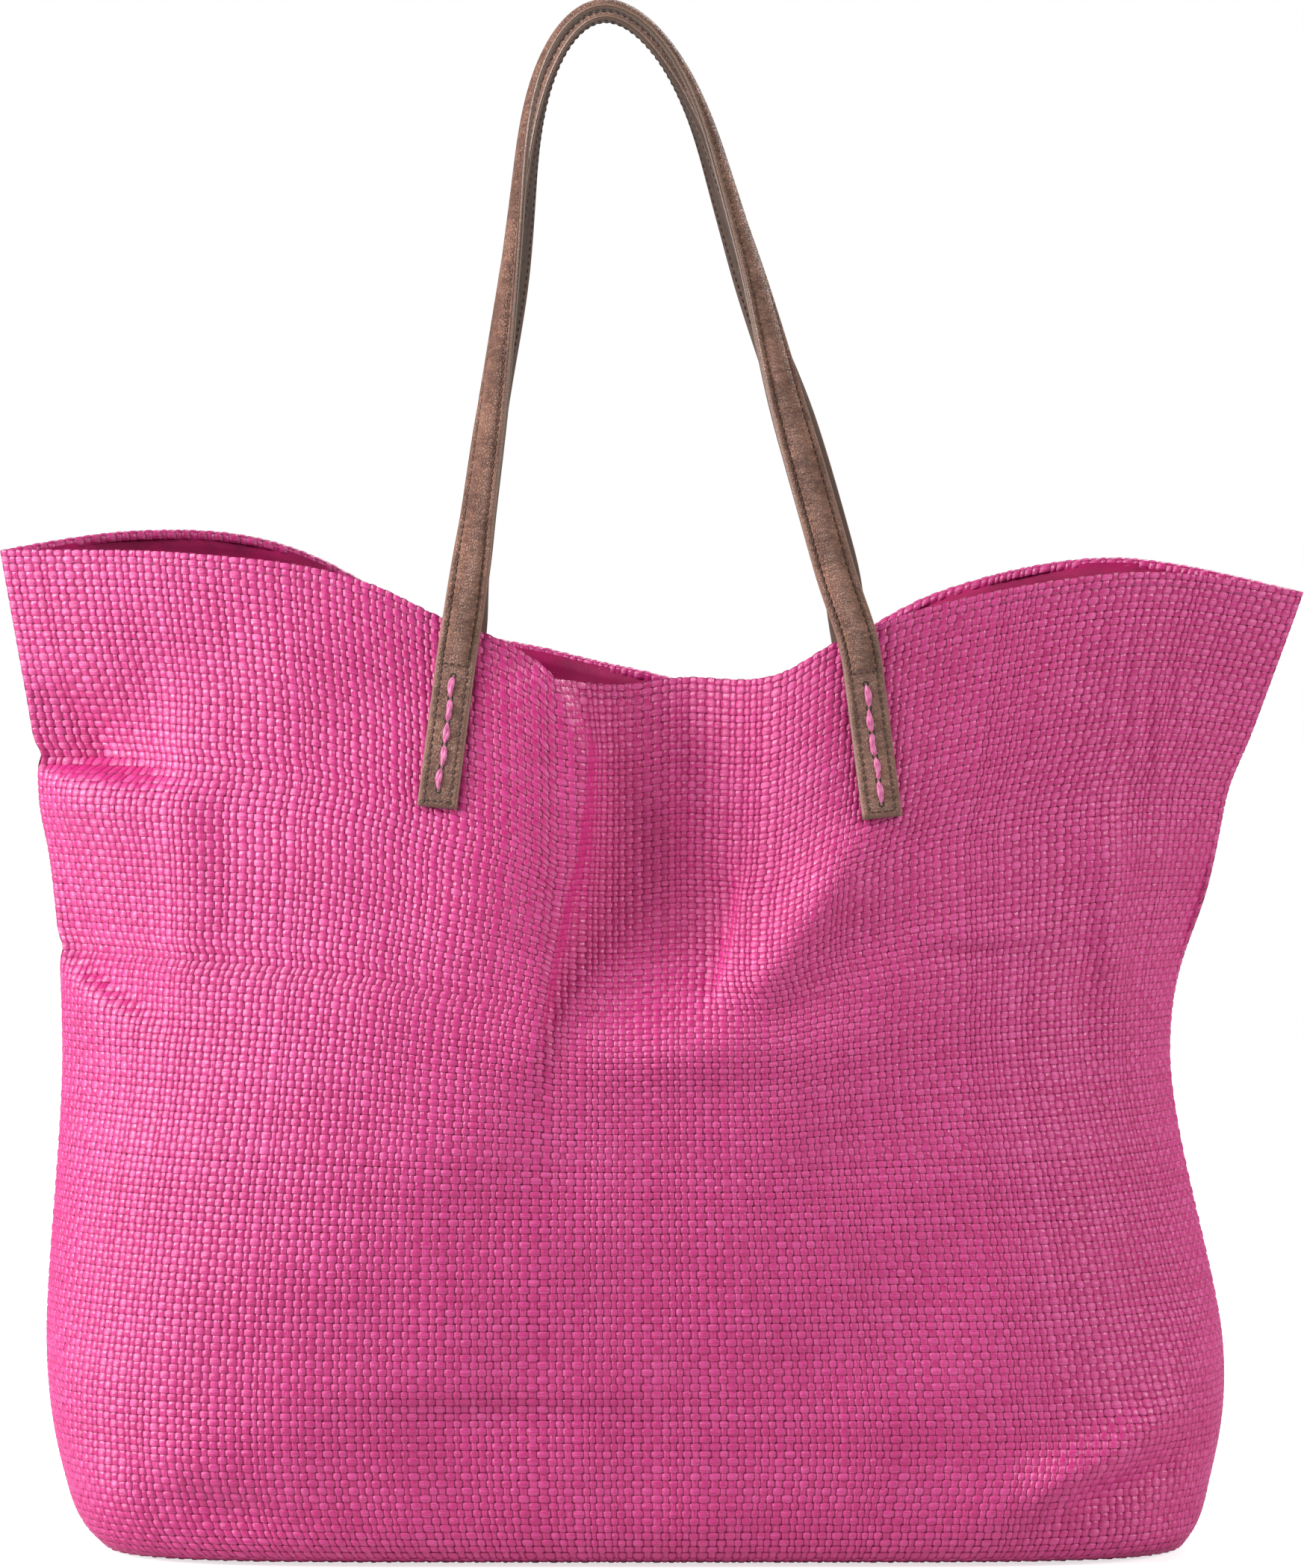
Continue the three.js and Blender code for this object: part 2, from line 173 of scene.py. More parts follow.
# %% Outline, depth and rim
side_height = 430
mouth = 281
base_width = {-1: 236, 1: 229}
bulge_width = {-1: 262, 1: 247}
waist_width = {-1: 255, 1: 224}
shoulder_width = {-1: 262, 1: 244}
base_depth, belly_depth, mouth_depth = 62, 88, 62
rim_sag, right_corner_sag = 54, 18
FRONT, BACK = -1, 1
LEFT, RIGHT = -1, 1
both_faces = ((FRONT, "front"), (BACK, "back"))
both_ends = ((LEFT, "left"), (RIGHT, "right"))

half_width = {}
for side in (-1, 1):
    low, bulge = base_width[side], bulge_width[side]
    half_width[side] = through([
        (0, low), (24, low + 0.6 * (bulge - low)), (87, bulge),
        (214, waist_width[side]), (313, shoulder_width[side]), (side_height, mouth)])
half_depth = through([
    (0, base_depth), (24, base_depth + 0.55 * (belly_depth - base_depth)), (195, belly_depth),
    (313, belly_depth + 0.4 * (mouth_depth - belly_depth)), (side_height, mouth_depth)])
rim_drop = {
    FRONT: through([(-1, 0), (-0.7, -1), (-0.43, -0.24 * rim_sag), (-0.14, -rim_sag), (0.17, -rim_sag),
                    (0.4, -0.46 * rim_sag), (0.73, -0.17 * rim_sag), (1, -right_corner_sag)]),
    BACK: through([(-1, 0), (-0.8, 8), (-0.6, 4), (-0.35, -0.4 * rim_sag), (-0.1, -0.93 * rim_sag),
                   (0.15, -rim_sag), (0.45, -0.34 * rim_sag), (0.72, -0.07 * rim_sag),
                   (1, -right_corner_sag)]),
}
fold_depth = {FRONT: 38, BACK: 22}

def rim_line(face, x):
    """The rim's drop, with the flap that stands up left of the front fold, and the back rim's own dips."""
    drop = rim_drop[face](x / mouth)
    if face == FRONT:
        flap = 7 * np.exp(-(((x + 62) / 22) ** 2)) * (1 - smoothstep(x, -46, -41))
        return drop + flap + 4.3 * np.exp(-(((x - 14) / 22) ** 2)) + 3.6 * np.exp(-(((x - 74) / 16) ** 2))
    stand = 2.0 * smoothstep(x, -70, -38) * (1 - smoothstep(x, -8, 18))
    return drop + stand - 9 * np.exp(-(((x + 96) / 36) ** 2)) - 6 * np.exp(-(((x - 66) / 40) ** 2))

def sagged(face, x, level):
    return level + rim_line(face, x) * smoothstep(level / side_height, 0.3, 1)
print("widest", max(half_width[1](h) for h in range(0, 431, 10)), "mm")

# %% Panel depth
crease_x = [-47, -44, -40, -35, -29, -27, -26, -33, -43]
crease_z = [214, 240, 259, 282, 307, 329, 345, 361, 384]

def hollow(face, x, z):
    """The share of the middle fold's depth that a place has. In front, a flap cuts it off on its left."""
    if face == BACK:
        return np.exp(-(((x - 5) / 38) ** 2))
    past = x - np.interp(z, crease_z, crease_x)
    inside = 0.22 + 0.68 * (1 - np.exp(-np.maximum(past, 0) / 14))
    right = np.exp(-((np.maximum(x + 6, 0) / 52) ** 2))
    return np.where(past > 0, inside, 0.10 * np.exp(-((past / 14) ** 2))) * right

def panel_depth(face, x, level):
    width = np.where(x < 0, half_width[-1](level), half_width[1](level))
    share = np.clip(np.abs(x / width), 0, 1)
    opening = np.sqrt(smoothstep(level, 0, side_height))
    section = np.maximum(1 - share ** (6 - 4 * opening), 0) ** (0.3 + 0.7 * opening)
    fold = hollow(face, x, sagged(face, x, level)) * smoothstep(level, 218, side_height - rim_sag)
    return (half_depth(level) - fold_depth[face] * fold) * section

print("belly", round(float(panel_depth(FRONT, np.array(0.0), 195.0)), 1), "mm deep")

# %% [markdown]
# ## Creases
# Woven straw is stiff: it doesn't drape in round waves, it buckles into flat facets with a crisp line
# between them. Each buckle is written down once as a line on the panel and a step or ridge across it. A
# simulation would give creases too, but not these ones, so they are listed one by one.

# %% Ways to crease the panel
def near_line(x, z, line):
    """Distance to a line of points, the same signed (positive on the walker's left), and how far along."""
    line = np.array(line, float)
    best = np.full(x.shape, 1e9)
    signed, along = np.zeros(x.shape), np.zeros(x.shape)
    for i in range(len(line) - 1):
        a, d = line[i], line[i + 1] - line[i]
        t = np.clip(((x - a[0]) * d[0] + (z - a[1]) * d[1]) / (d @ d), 0, 1)
        dx, dz = x - a[0] - t * d[0], z - a[1] - t * d[1]
        far = np.hypot(dx, dz)
        side = np.sign(d[0] * dz - d[1] * dx)
        closer = far < best
        best = np.where(closer, far, best)
        signed = np.where(closer, side * far, signed)
        along = np.where(closer, (i + t) / (len(line) - 1), along)
    return best, signed, along

def fade(along, rise, fall):
    return smoothstep(along, 0, max(rise, 1e-3)) * (1 - smoothstep(along, 1 - max(fall, 1e-3), 1))

def ridge(x, z, line, height, width, rise=0.3, fall=0.3):
    far, _, along = near_line(x, z, line)
    return height * np.exp(-((far / width) ** 2)) * (0.25 + 0.75 * fade(along, rise, fall))

def step(x, z, line, left, right, sharp, reach, rise=0.1, fall=0.3):
    """The cloth on the line's left stands out by left and the cloth on its right by right."""
    far, signed, along = near_line(x, z, line)
    side = 0.5 + 0.5 * np.tanh(signed / sharp)
    return (left * side + right * (1 - side)) * np.exp(-((far / reach) ** 2)) * fade(along, rise, fall)

def pinch(x, z, line, deep, bulge, rise=0.01, fall=0.7):
    """The cloth sinks towards the line from above, turns sharply, and swells out again under it."""
    _, signed, along = near_line(x, z, line)
    above = -deep * np.exp(-((signed / 24) ** 2))
    below = -deep * np.exp(-((signed / 5) ** 2)) + bulge * np.exp(-(((signed + 17) / 15) ** 2))
    return np.where(signed > 0, above, below) * fade(along, rise, fall)

def mound(x, z, centre, size, height, turn=0):
    c, s = math.cos(math.radians(turn)), math.sin(math.radians(turn))
    u, v = (x - centre[0]) * c + (z - centre[1]) * s, (z - centre[1]) * c - (x - centre[0]) * s
    return height * np.exp(-((u / size[0]) ** 2) - ((v / size[1]) ** 2))

def ripples(x, start, length, height):
    """Upright ripples, as high as height says at each place."""
    return height * np.sin((x - start) / length * FULL_TURN)

def waviness(x, z, seed, height, length):
    """Slow uneven waves, from a few sines in seeded directions."""
    dice = np.random.default_rng(seed)
    total = np.zeros(x.shape)
    for _ in range(7):
        angle, phase, scale = dice.uniform(0, math.pi), dice.uniform(0, 6.3), dice.uniform(0.7, 1.6)
        total += np.sin((x * math.cos(angle) + z * math.sin(angle)) * FULL_TURN / (length * scale) + phase)
    return height * total / 3

print("crease tools ready")

# %% The creases of each panel
def front_creases(x, z):
    d = waviness(x, z, 3, 0.9, 95) + waviness(x, z, 4, 0.35, 38)
    # the fold that runs down from the rim, left of the middle: its left flap overlaps the hollow
    d += step(x, z, [(-42, 384), (-33, 361), (-26, 345), (-27, 329), (-29, 307), (-35, 282), (-40, 259),
                     (-44, 240), (-47, 214), (-49, 196)], -4.2, 3.6, 1.1, 16, 0.02, 0.3)
    d += step(x, z, [(39, 300), (33, 269), (22, 232)], 3.4, -3.0, 1.6, 16, 0.3, 0.3)
    d += ripples(x, 18, 7.5, mound(x, z, (24, 318), (15, 42), 0.5))
    d += ridge(x, z, [(98, 318), (71, 285), (52, 258), (34, 236)], 8.5, 13)
    d += mound(x, z, (4, 268), (34, 24), -7) + mound(x, z, (22, 221), (46, 13), 4.5)
    d += mound(x, z, (-70, 300), (26, 60), 4.5, 8) + mound(x, z, (60, 350), (30, 40), 3)
    # the left seam is pinched in twice
    d += pinch(x, z, [(-285, 341), (-240, 340), (-176, 330)], 20, 11, 0.01, 0.75)
    d += pinch(x, z, [(-280, 270), (-244, 250), (-186, 218)], 13, 8, 0.01, 0.7)
    d += ridge(x, z, [(-196, 392), (-200, 340), (-196, 280), (-204, 220)], 3.5, 13)
    d += mound(x, z, (-225, 305), (42, 26), 5) + mound(x, z, (-206, 372), (26, 22), -4)
    # right side: a flat shelf, upright waves and the slope above the corner
    d += step(x, z, [(106, 265), (150, 263), (192, 266)], 1.7, -1.9, 2.2, 14, 0.3, 0.4)
    d += ripples(x, 205, 10, mound(x, z, (212, 356), (24, 34), 0.8))
    d += ripples(x, 190, 24, mound(x, z, (205, 260), (24, 52), 1.5))
    d += ridge(x, z, [(186, 330), (196, 290), (206, 240), (222, 180)], 4.5, 14)
    d += ridge(x, z, [(150, 27), (191, 45), (232, 72)], 7.0, 11)
    d += ridge(x, z, [(176, 26), (205, 34), (232, 46)], -5.5, 8)
    d += mound(x, z, (228, 18), (14, 12), -6) + mound(x, z, (214, 110), (20, 40), -4)
    # low down: a soft line across the middle, and the left facet
    d += step(x, z, [(-150, 71), (-60, 72), (30, 70)], 1.6, -0.8, 4.0, 16, 0.4, 0.4)
    d += mound(x, z, (-214, 40), (40, 20), 4.5, 18) + ridge(x, z, [(-246, 60), (-205, 30), (-150, 16)], -3, 9)
    d += mound(x, z, (-120, 150), (60, 70), 3) + mound(x, z, (110, 150), (40, 80), -3.5)
    return d

def back_creases(x, z):
    d = waviness(x, z, 11, 1.1, 100) + waviness(x, z, 12, 0.4, 40)
    d += step(x, z, [(30, 392), (26, 340), (30, 290), (38, 236)], 4.0, -4.0, 3, 24, 0.02, 0.45)
    d += mound(x, z, (2, 262), (32, 24), -6) + mound(x, z, (0, 218), (44, 14), 4)
    d += pinch(x, z, [(-280, 306), (-236, 304), (-180, 292)], 7, 5)
    d += pinch(x, z, [(170, 258), (225, 272), (262, 284)], 5, 4, 0.6, 0.01)
    d += ridge(x, z, [(-190, 24), (-225, 60)], 4, 11) + ridge(x, z, [(170, 24), (222, 58)], 4, 11)
    return d

creases = {FRONT: front_creases, BACK: back_creases}
everywhere = np.meshgrid(np.arange(-280, 281, 5.0), np.arange(0, 431, 5.0))
print("front creases from", round(float(front_creases(*everywhere).min()), 1), "mm")

# %% [markdown]
# ## The woven cloth as a grid
# Each panel is one cloth: it starts at the middle seam of the base, turns up into the wall, runs to the
# rim, and turns over the rim as a hem. Straw can't stretch, so the upright straws are spread evenly along
# each row's real length, not along its width on paper. The result is a grid of points with one cell for
# each crossing of straws, and every other cloth piece is laid on this same grid.

# %% Grid of one panel
columns, wall_rows, base_rows, hem_rows = 170, 134, 20, 2
row_height = side_height / wall_rows
dice = np.random.default_rng(5)
straw_gaps = {side: 1 + dice.uniform(-0.3, 0.3, columns // 2) for side in (-1, 1)}

def notch(side, level):
    """The left seam is nicked where two pinches cross it; the right one has a soft corner at the waist."""
    if side > 0:
        return 1.8 * math.exp(-(((level - 338) / 16) ** 2)) - 2.8 * math.exp(-(((level - 284) / 26) ** 2))
    nick = sum(deep * math.exp(-(((level - z) / 4.5) ** 2)) for z, deep in ((341, 2.6), (258, 2.0)))
    return nick - 1.6 * math.exp(-(((level - 318) / 14) ** 2))

def wall_line(face, level):
    """One row of a panel at a height: x and y of points evenly spaced along the straw."""
    halves = []
    for side in (-1, 1):
        width = float(half_width[side](level)) - notch(side, level)
        x = side * width * np.sin(np.linspace(0, math.pi / 2, 260))
        z = sagged(face, x, level)
        y = panel_depth(face, x, level)
        seam = 1 - np.abs(x / width) ** 22
        y = y + np.maximum(creases[face](x, z) * seam * smoothstep(level, 0, 22), -0.7 * y)
        arc = np.concatenate([[0], np.cumsum(np.hypot(np.diff(x), np.diff(y)))])
        at = np.concatenate([[0], np.cumsum(straw_gaps[side])])
        at *= arc[-1] / at[-1]
        halves.append((np.interp(at, arc, x), np.interp(at, arc, y), np.interp(at, arc, z)))
    left, right = halves
    return [np.concatenate([a[::-1], b[1:]]) for a, b in zip(left, right)]

def panel_grid(face):
    rows = []
    edge_x, edge_y, _ = wall_line(face, 0.0)
    for i in range(base_rows, 0, -1):
        inward = i / base_rows
        width = np.where(edge_x < 0, base_width[-1], base_width[1])
        rows.append(np.stack([edge_x * (1 - 20 / width * inward), face * (edge_y * (1 - inward) + 0.15),
                              np.full(columns + 1, 1.2)], -1))
    for i in range(wall_rows + 1):
        level = i * row_height
        x, y, z = wall_line(face, level)
        rows.append(np.stack([x, face * (y + 0.15), z + 1.2 * (1 - smoothstep(level, 0, 12))], -1))
    rim = rows[-1]
    down = unit(rows[-4] - rim)
    rows[-1] = rim + down * 0.6
    for i in range(1, hem_rows + 1):
        turned = (1 - math.cos(min(i / 1.2, 1) * math.pi)) / 2
        inset = np.minimum(np.abs(rim[:, 1]), 2.6 * turned)
        p = rim + down * max(0.8, (i - 0.6) * row_height)
        p[:, 1] = rim[:, 1] + (down[:, 1] * (i - 0.6) * row_height) * (np.abs(rim[:, 1]) > 6) - face * inset
        rows.append(p)
    return np.array(rows)

grids = {face: panel_grid(face) for face in (FRONT, BACK)}
for face, grid in grids.items():
    length = np.linalg.norm(np.diff(grid, axis=1), axis=-1).sum(1)
    print("panel", face, grid.shape[:2], "rows", length.min().round(), "to", length.max().round(), "mm long")

# %% Points and normals anywhere on a panel
def grid_normals(grid, face):
    along = np.gradient(grid, axis=1)
    up = np.gradient(grid, axis=0)
    return unit(np.cross(along, up) * (1 if face == FRONT else -1))

normals = {face: grid_normals(grid, face) for face, grid in grids.items()}

def sample(field, row, column):
    rows, cols = field.shape[0] - 1, field.shape[1] - 1
    row, column = np.clip(row, 0, rows), np.clip(column, 0, cols)
    r, c = np.minimum(row.astype(int), rows - 1), np.minimum(column.astype(int), cols - 1)
    u, v = (row - r)[..., None], (column - c)[..., None]
    return ((1 - u) * ((1 - v) * field[r, c] + v * field[r, c + 1])
            + u * ((1 - v) * field[r + 1, c] + v * field[r + 1, c + 1]))

def on_cloth(face, row, column, out):
    """Points on a panel's cloth for a row and a column of the weave, lifted out of it by out mm."""
    normal = sample(normals[face], row, column)
    return sample(grids[face], row, column) + normal * np.asarray(out)[..., None]

middle = on_cloth(FRONT, np.array([80.0]), np.array([85.0]), np.array([0.0]))[0]
print("a point in the middle of the front", middle.round(1), normals[FRONT][80, 85].round(2))

# %% [markdown]
# ## Straw strips
# In plain weave, each flat strip of paper straw passes over one crossing strip and under the next. The
# level strips are wide and pillowed where they come out on top; the upright ones are narrower and lie
# lower. Every strip is its own ribbon of mesh, arched across and waved along, so real strips make real
# shadows between them; painted shade, a deeper pink, is added along each strip's edges and where it dives.

# %% Weave one panel's strips
lift = 0.48

def strips(face, first_row, last_row, level, seed):
    """All the level strips (or all the upright ones) between two rows of the grid, as one mesh."""
    dice = np.random.default_rng(seed)
    if level:
        lines = np.arange(first_row, last_row)
        cells = np.arange(columns)
        half, proud, edge, between = 0.51, 0.14, 0.38, 0.30
    else:
        lines = np.arange(columns)
        cells = np.arange(first_row, last_row)
        half, proud, edge, between = 0.41, -0.10, 0.32, 0.42
    steps = np.array([0.0, 0.26, 0.74])
    at = np.append((cells[:, None] + steps).ravel(), cells[-1] + 1)
    line, along = np.meshgrid(lines, at, indexing="ij")
    cell = np.minimum(np.floor(along), cells[-1]).astype(int)
    over = np.where(((line + cell) % 2 == 0) == level, 1.0, -1.0)
    phase = along - cell
    swing = np.where(phase < 1e-6, between, over)
    swing[:, -1] = between
    width = half * (1 + dice.uniform(-0.09, 0.07, (len(lines), 1))) * (1 + 0.06 * swing)
    wander = dice.normal(0, 0.035, (len(lines), len(cells)))
    wander = np.repeat(wander, 3, axis=1)
    wander = np.concatenate([wander, wander[:, -1:]], 1)
    twist = dice.normal(0, 0.05, wander.shape[:1] + (len(cells),)).repeat(3, axis=1)
    twist = np.concatenate([twist, twist[:, -1:]], 1)
    shares = np.array([-1.0, -0.66, 0.66, 1.0])
    across = line[..., None] + 0.5 + wander[..., None] * 0.6 + width[..., None] * shares
    arch = np.array([-edge, 0.04, 0.04, -edge])
    out = lift * swing[..., None] + proud + arch + twist[..., None] * shares * (swing[..., None] > 0)
    run = np.repeat(along[..., None], 4, axis=2)
    row, column = (across, run) if level else (run, across)
    row, column = np.clip(row, first_row, last_row), np.clip(column, 0, columns)
    points = on_cloth(face, row.ravel(), column.ravel(), out.ravel())
    n = len(at)
    one = grid_faces(n, 4)
    faces = (one[None] + (np.arange(len(lines)) * n * 4)[:, None, None]).reshape(-1, 4)
    if level != (face == FRONT):
        faces = faces[:, ::-1]
    uv = np.stack([column.ravel(), row.ravel()], -1)
    # The swing attribute is the strip's over-and-under wave, pushed down along its long edges; where it is
    # low the straw material paints shade, a deeper pink.
    values = {"swing": (swing[..., None] - (1.2 if level else 2.2) * (np.abs(shares) > 0.9)).ravel(),
              "strip": np.repeat(dice.uniform(0, 1, (len(lines), 1, 1)), n, 1).repeat(4, 2).ravel()}
    return points, faces, uv, values

def add_strips(name, face, first_row, last_row, level, seed):
    points, faces, uv, values = strips(face, first_row, last_row, level, seed)
    piece = make_mesh(name, points, faces, uv, values)
    low, high = uv.min(0), uv.max(0)
    bake_map(piece, in_square((uv - low) / (high - low)))
    return piece

rim_row = base_rows + wall_rows
part_rows = (52, 104)
woven = {}
for face, side_name in both_faces:
    for part, first, last in (("base", 0, part_rows[0]), ("lower", part_rows[0], part_rows[1]),
                              ("upper", part_rows[1], rim_row), ("hem", rim_row, rim_row + hem_rows)):
        for level, kind in ((True, "weft"), (False, "warp")):
            name = f"{side_name}_{part}_{kind}"
            woven[name] = add_strips(name, face, first, last, level, sum(map(ord, name)))
print("strips", {name: len(piece.data.polygons) * 2 for name, piece in woven.items()}, "triangles")

# %% [markdown]
# ## Lining, patches and seams
# The lining is a smooth cloth bag inside the straw one. It is caught under the turned hem, hangs a little
# loose below it, and stands clear of the side seams. It follows the same grid as its panel, drawn inward.
# Between straw and lining, a small cloth patch behind each tab stops the lace from cutting the straw, and
# the seam allowances are strips sewn straw to straw.

# %% Cloth that follows a panel
def inner_cloth(face, rows, cols, inset, side_inset, looseness, seed):
    row, column = np.meshgrid(rows, cols, indexing="ij")
    p = sample(grids[face], row, column)
    width = np.abs(sample(grids[face], row, np.where(column < columns / 2, 0.0, columns)))[..., 0]
    share = np.abs(p[..., 0]) / width
    p[..., 0] -= np.sign(p[..., 0]) * side_inset * share**11
    slack = looseness * (0.5 + 0.5 * waviness(p[..., 0], p[..., 2], seed, 1.0, 60)) * (1 - share**6)
    depth = np.asarray(inset)[:, None] + slack
    wall = smoothstep(row, base_rows - 2, base_rows + 3)
    p[..., 1] = face * np.maximum(np.abs(p[..., 1]) - depth * wall, 0.35)
    p[..., 2] += depth * (1 - wall)
    faces = grid_faces(len(rows), len(cols))
    uv = np.stack([column.ravel(), row.ravel()], -1)
    return p.reshape(-1, 3), faces if face == FRONT else faces[:, ::-1], uv

def add_cloth(name, points, faces, uv, thickness, cad_node):
    piece = make_mesh(name, points, faces, uv)
    low, high = uv.min(0), uv.max(0)
    bake_map(piece, in_square((uv - low) / (high - low)))
    body = piece.modifiers.new("thickness", "SOLIDIFY")
    body.thickness, body.offset = thickness * MM, 0
    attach(piece, "bag")
    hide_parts(cad_node)
    return piece

lining = {}
for face, side_name in both_faces:
    rows = np.concatenate([np.linspace(0, base_rows, 8)[:-1], np.linspace(base_rows, rim_row - 0.7, 76)])
    inset = 1.3 + 2.8 * (1 - smoothstep(rows, rim_row - 7, rim_row - 2.0))
    points, faces, uv = inner_cloth(face, rows, np.linspace(0, columns, 121), inset, 8, 1.6, 21 + face)
    lining[side_name] = add_cloth(side_name + "_lining_cloth", points, faces, uv, 0.4,
                                  side_name + "_lining")
print("lining", len(lining["front"].data.polygons), "faces each")

# %% Patches behind the tabs
hinge_height = side_height - 0.65 * rim_sag - 7
tab_shift, tab_reach = 3, 85  # the pair of tabs is a little right of the middle, and 170 mm apart
lean = math.tan(math.radians(7.3))
patches = {}
for face, side_name in both_faces:
    for side, end_name in both_ends:
        x = tab_shift + side * (tab_reach + 35 * lean)
        column = int(np.argmin(np.abs(grids[face][rim_row - 24, :, 0] - x)))
        heights = grids[face][:rim_row, column, 2]
        top = int(np.argmin(np.abs(heights - (hinge_height - 6))))
        bottom = base_rows + int(np.argmin(np.abs(heights[base_rows:] - (hinge_height - 72))))
        row, col = np.meshgrid(np.linspace(bottom, top, 24), np.linspace(column - 3.2, column + 3.2, 9),
                               indexing="ij")
        points = on_cloth(face, row.ravel(), col.ravel(), np.full(row.size, -1.15))
        faces = grid_faces(24, 9)
        name = f"{side_name}_{end_name}_patch"
        patches[name] = add_cloth(name + "_cloth", points, faces if face == FRONT else faces[:, ::-1],
                                  np.stack([col.ravel(), row.ravel()], -1), 0.3, name)
print("patches", len(patches))

# %% Seam allowances
def seam_ribbon(name, centre_line, across, cad_node):
    """Two layers of straw folded in along a seam, with the ends of the strips fraying slightly."""
    n = len(centre_line)
    shares = np.linspace(0, 1, 7)
    fray = np.random.default_rng(len(name)).uniform(0.85, 1.0, n)
    points = centre_line[:, None] + across[:, None] * (shares[None, :, None] * fray[:, None, None])
    points[:, :, 1] += 0.25 * np.sin(np.arange(n) * 1.1)[:, None] * shares
    uv = np.stack(np.meshgrid(shares * 2, np.arange(n, dtype=float)), -1).reshape(-1, 2)
    return add_cloth(name, points.reshape(-1, 3), grid_faces(n, len(shares)), uv, 0.8, cad_node)

seams = []
for side, end_name in both_ends:
    edge = grids[FRONT][base_rows + 8:rim_row - 4, 0 if side < 0 else columns].copy()
    edge[:, 1] = 0
    edge[:, 0] -= side * 1.4
    across = np.tile([-side * 5.6, 0, 0], (len(edge), 1))
    seams.append(seam_ribbon(end_name + "_seam_allowance", edge, across, end_name + "_side_seam"))
places = 110
line = np.stack([np.linspace(-192, 186, places), np.full(places, -5.0), np.full(places, 2.4)], -1)
seams.append(seam_ribbon("bottom_seam_allowance", line, np.tile([0, 10.0, 0], (places, 1)), "bottom_seam"))
print("seams", len(seams))

# %% [markdown]
# ## Handles
# Each handle is one long strap. Its flat ends lie on the panel as tabs. Above a cross row of stitches the
# strap is padded between two rows of thread, leaves the bag facing outward, and turns edge-on over the top.
# So one path is made first, with a place, a direction and an outward side at every station, and all layers
# and threads of the strap are laid along it.

# %% Where the cloth is under a tab
def cloth_depth(face, x, z):
    level = z
    for _ in range(12):
        level = z - rim_line(face, x) * smoothstep(level / side_height, 0.3, 1)
    return panel_depth(face, x, level) + creases[face](x, z)

tab_end = {LEFT: 65.5, RIGHT: 70.0}
padding_start = {LEFT: 4.5, RIGHT: 8.0}
strap_half, strap_thick, cloth_slack = 8.5, 2.7, 0.9

def tab_point(face, side, across, down):
    x = np.array(tab_shift + side * (tab_reach + down * lean) + across)
    z = np.array(hinge_height - down)
    return np.array([x, face * (cloth_depth(face, x, z) + 0.15 + cloth_slack + strap_thick / 2), z])

def tab_frame(face, side, down):
    here = tab_point(face, side, 0.0, down)
    wide = tab_point(face, side, 7.0, down) - tab_point(face, side, -7.0, down)
    up = tab_point(face, side, 0.0, down - 4) - tab_point(face, side, 0.0, down + 4)
    middle = (tab_point(face, side, 7.0, down) + tab_point(face, side, -7.0, down)) / 2
    lift_off = max(0.0, face * (middle[1] - here[1]))
    here[1] += face * lift_off
    normal = unit(np.cross(up, wide) * (1 if face == BACK else 1))
    normal *= np.sign(normal[1] * face)
    return here, unit(-side * up), normal

hinge_depth = {}
for face in (FRONT, BACK):
    hinge_depth[face] = max(abs(tab_point(face, side, 0.0, 0.0)[1]) for side in (LEFT, RIGHT))
print("hinge depth", {face: round(float(d), 1) for face, d in hinge_depth.items()})

# %% The strap's path over the arch
inner_by = {FRONT: 0.0, BACK: 2.6}
spread = {FRONT: (0.0, -2.4), BACK: (3.4, 3.2)}

arch_reach, arch_shift, arch_gap, arch_start = 28, -23, 12, 0.72
loop_rise = 273.1

def loop_point(face, along):
    rise = 1 - along * along
    taper = tab_reach + (arch_reach - tab_reach) * rise - inner_by[face] * smoothstep(rise, 0.25, 0.75)
    cap = np.clip((rise - arch_start) / (1 - arch_start), 0, 1)
    bulge = smoothstep(rise, 0, 0.13) * (1 - smoothstep(rise, 0.34, 0.62))
    out = np.where(along < 0, *spread[face]) * bulge
    x = tab_shift + arch_shift * rise**1.25 + np.sign(along) * (taper * np.sqrt(1 - cap**3.3) + out)
    y = face * (hinge_depth[face] + (arch_gap - hinge_depth[face]) * smoothstep(rise, 0, 1.15))
    return np.stack([x, y, hinge_height + 0.3 + rise * (loop_rise - inner_by[face])], -1)

turning = {
    LEFT: through([(0, 0), (0.21, 0.01), (0.368, 0.17), (0.457, 0.34), (0.614, 0.47), (0.78, 0.73),
                   (0.867, 0.89), (0.96, 1), (1, 1)]),
    RIGHT: through([(0, 0), (0.3, 0.02), (0.457, 0.09), (0.614, 0.28), (0.78, 0.67), (0.867, 0.83),
                    (0.96, 1), (1, 1)]),
}

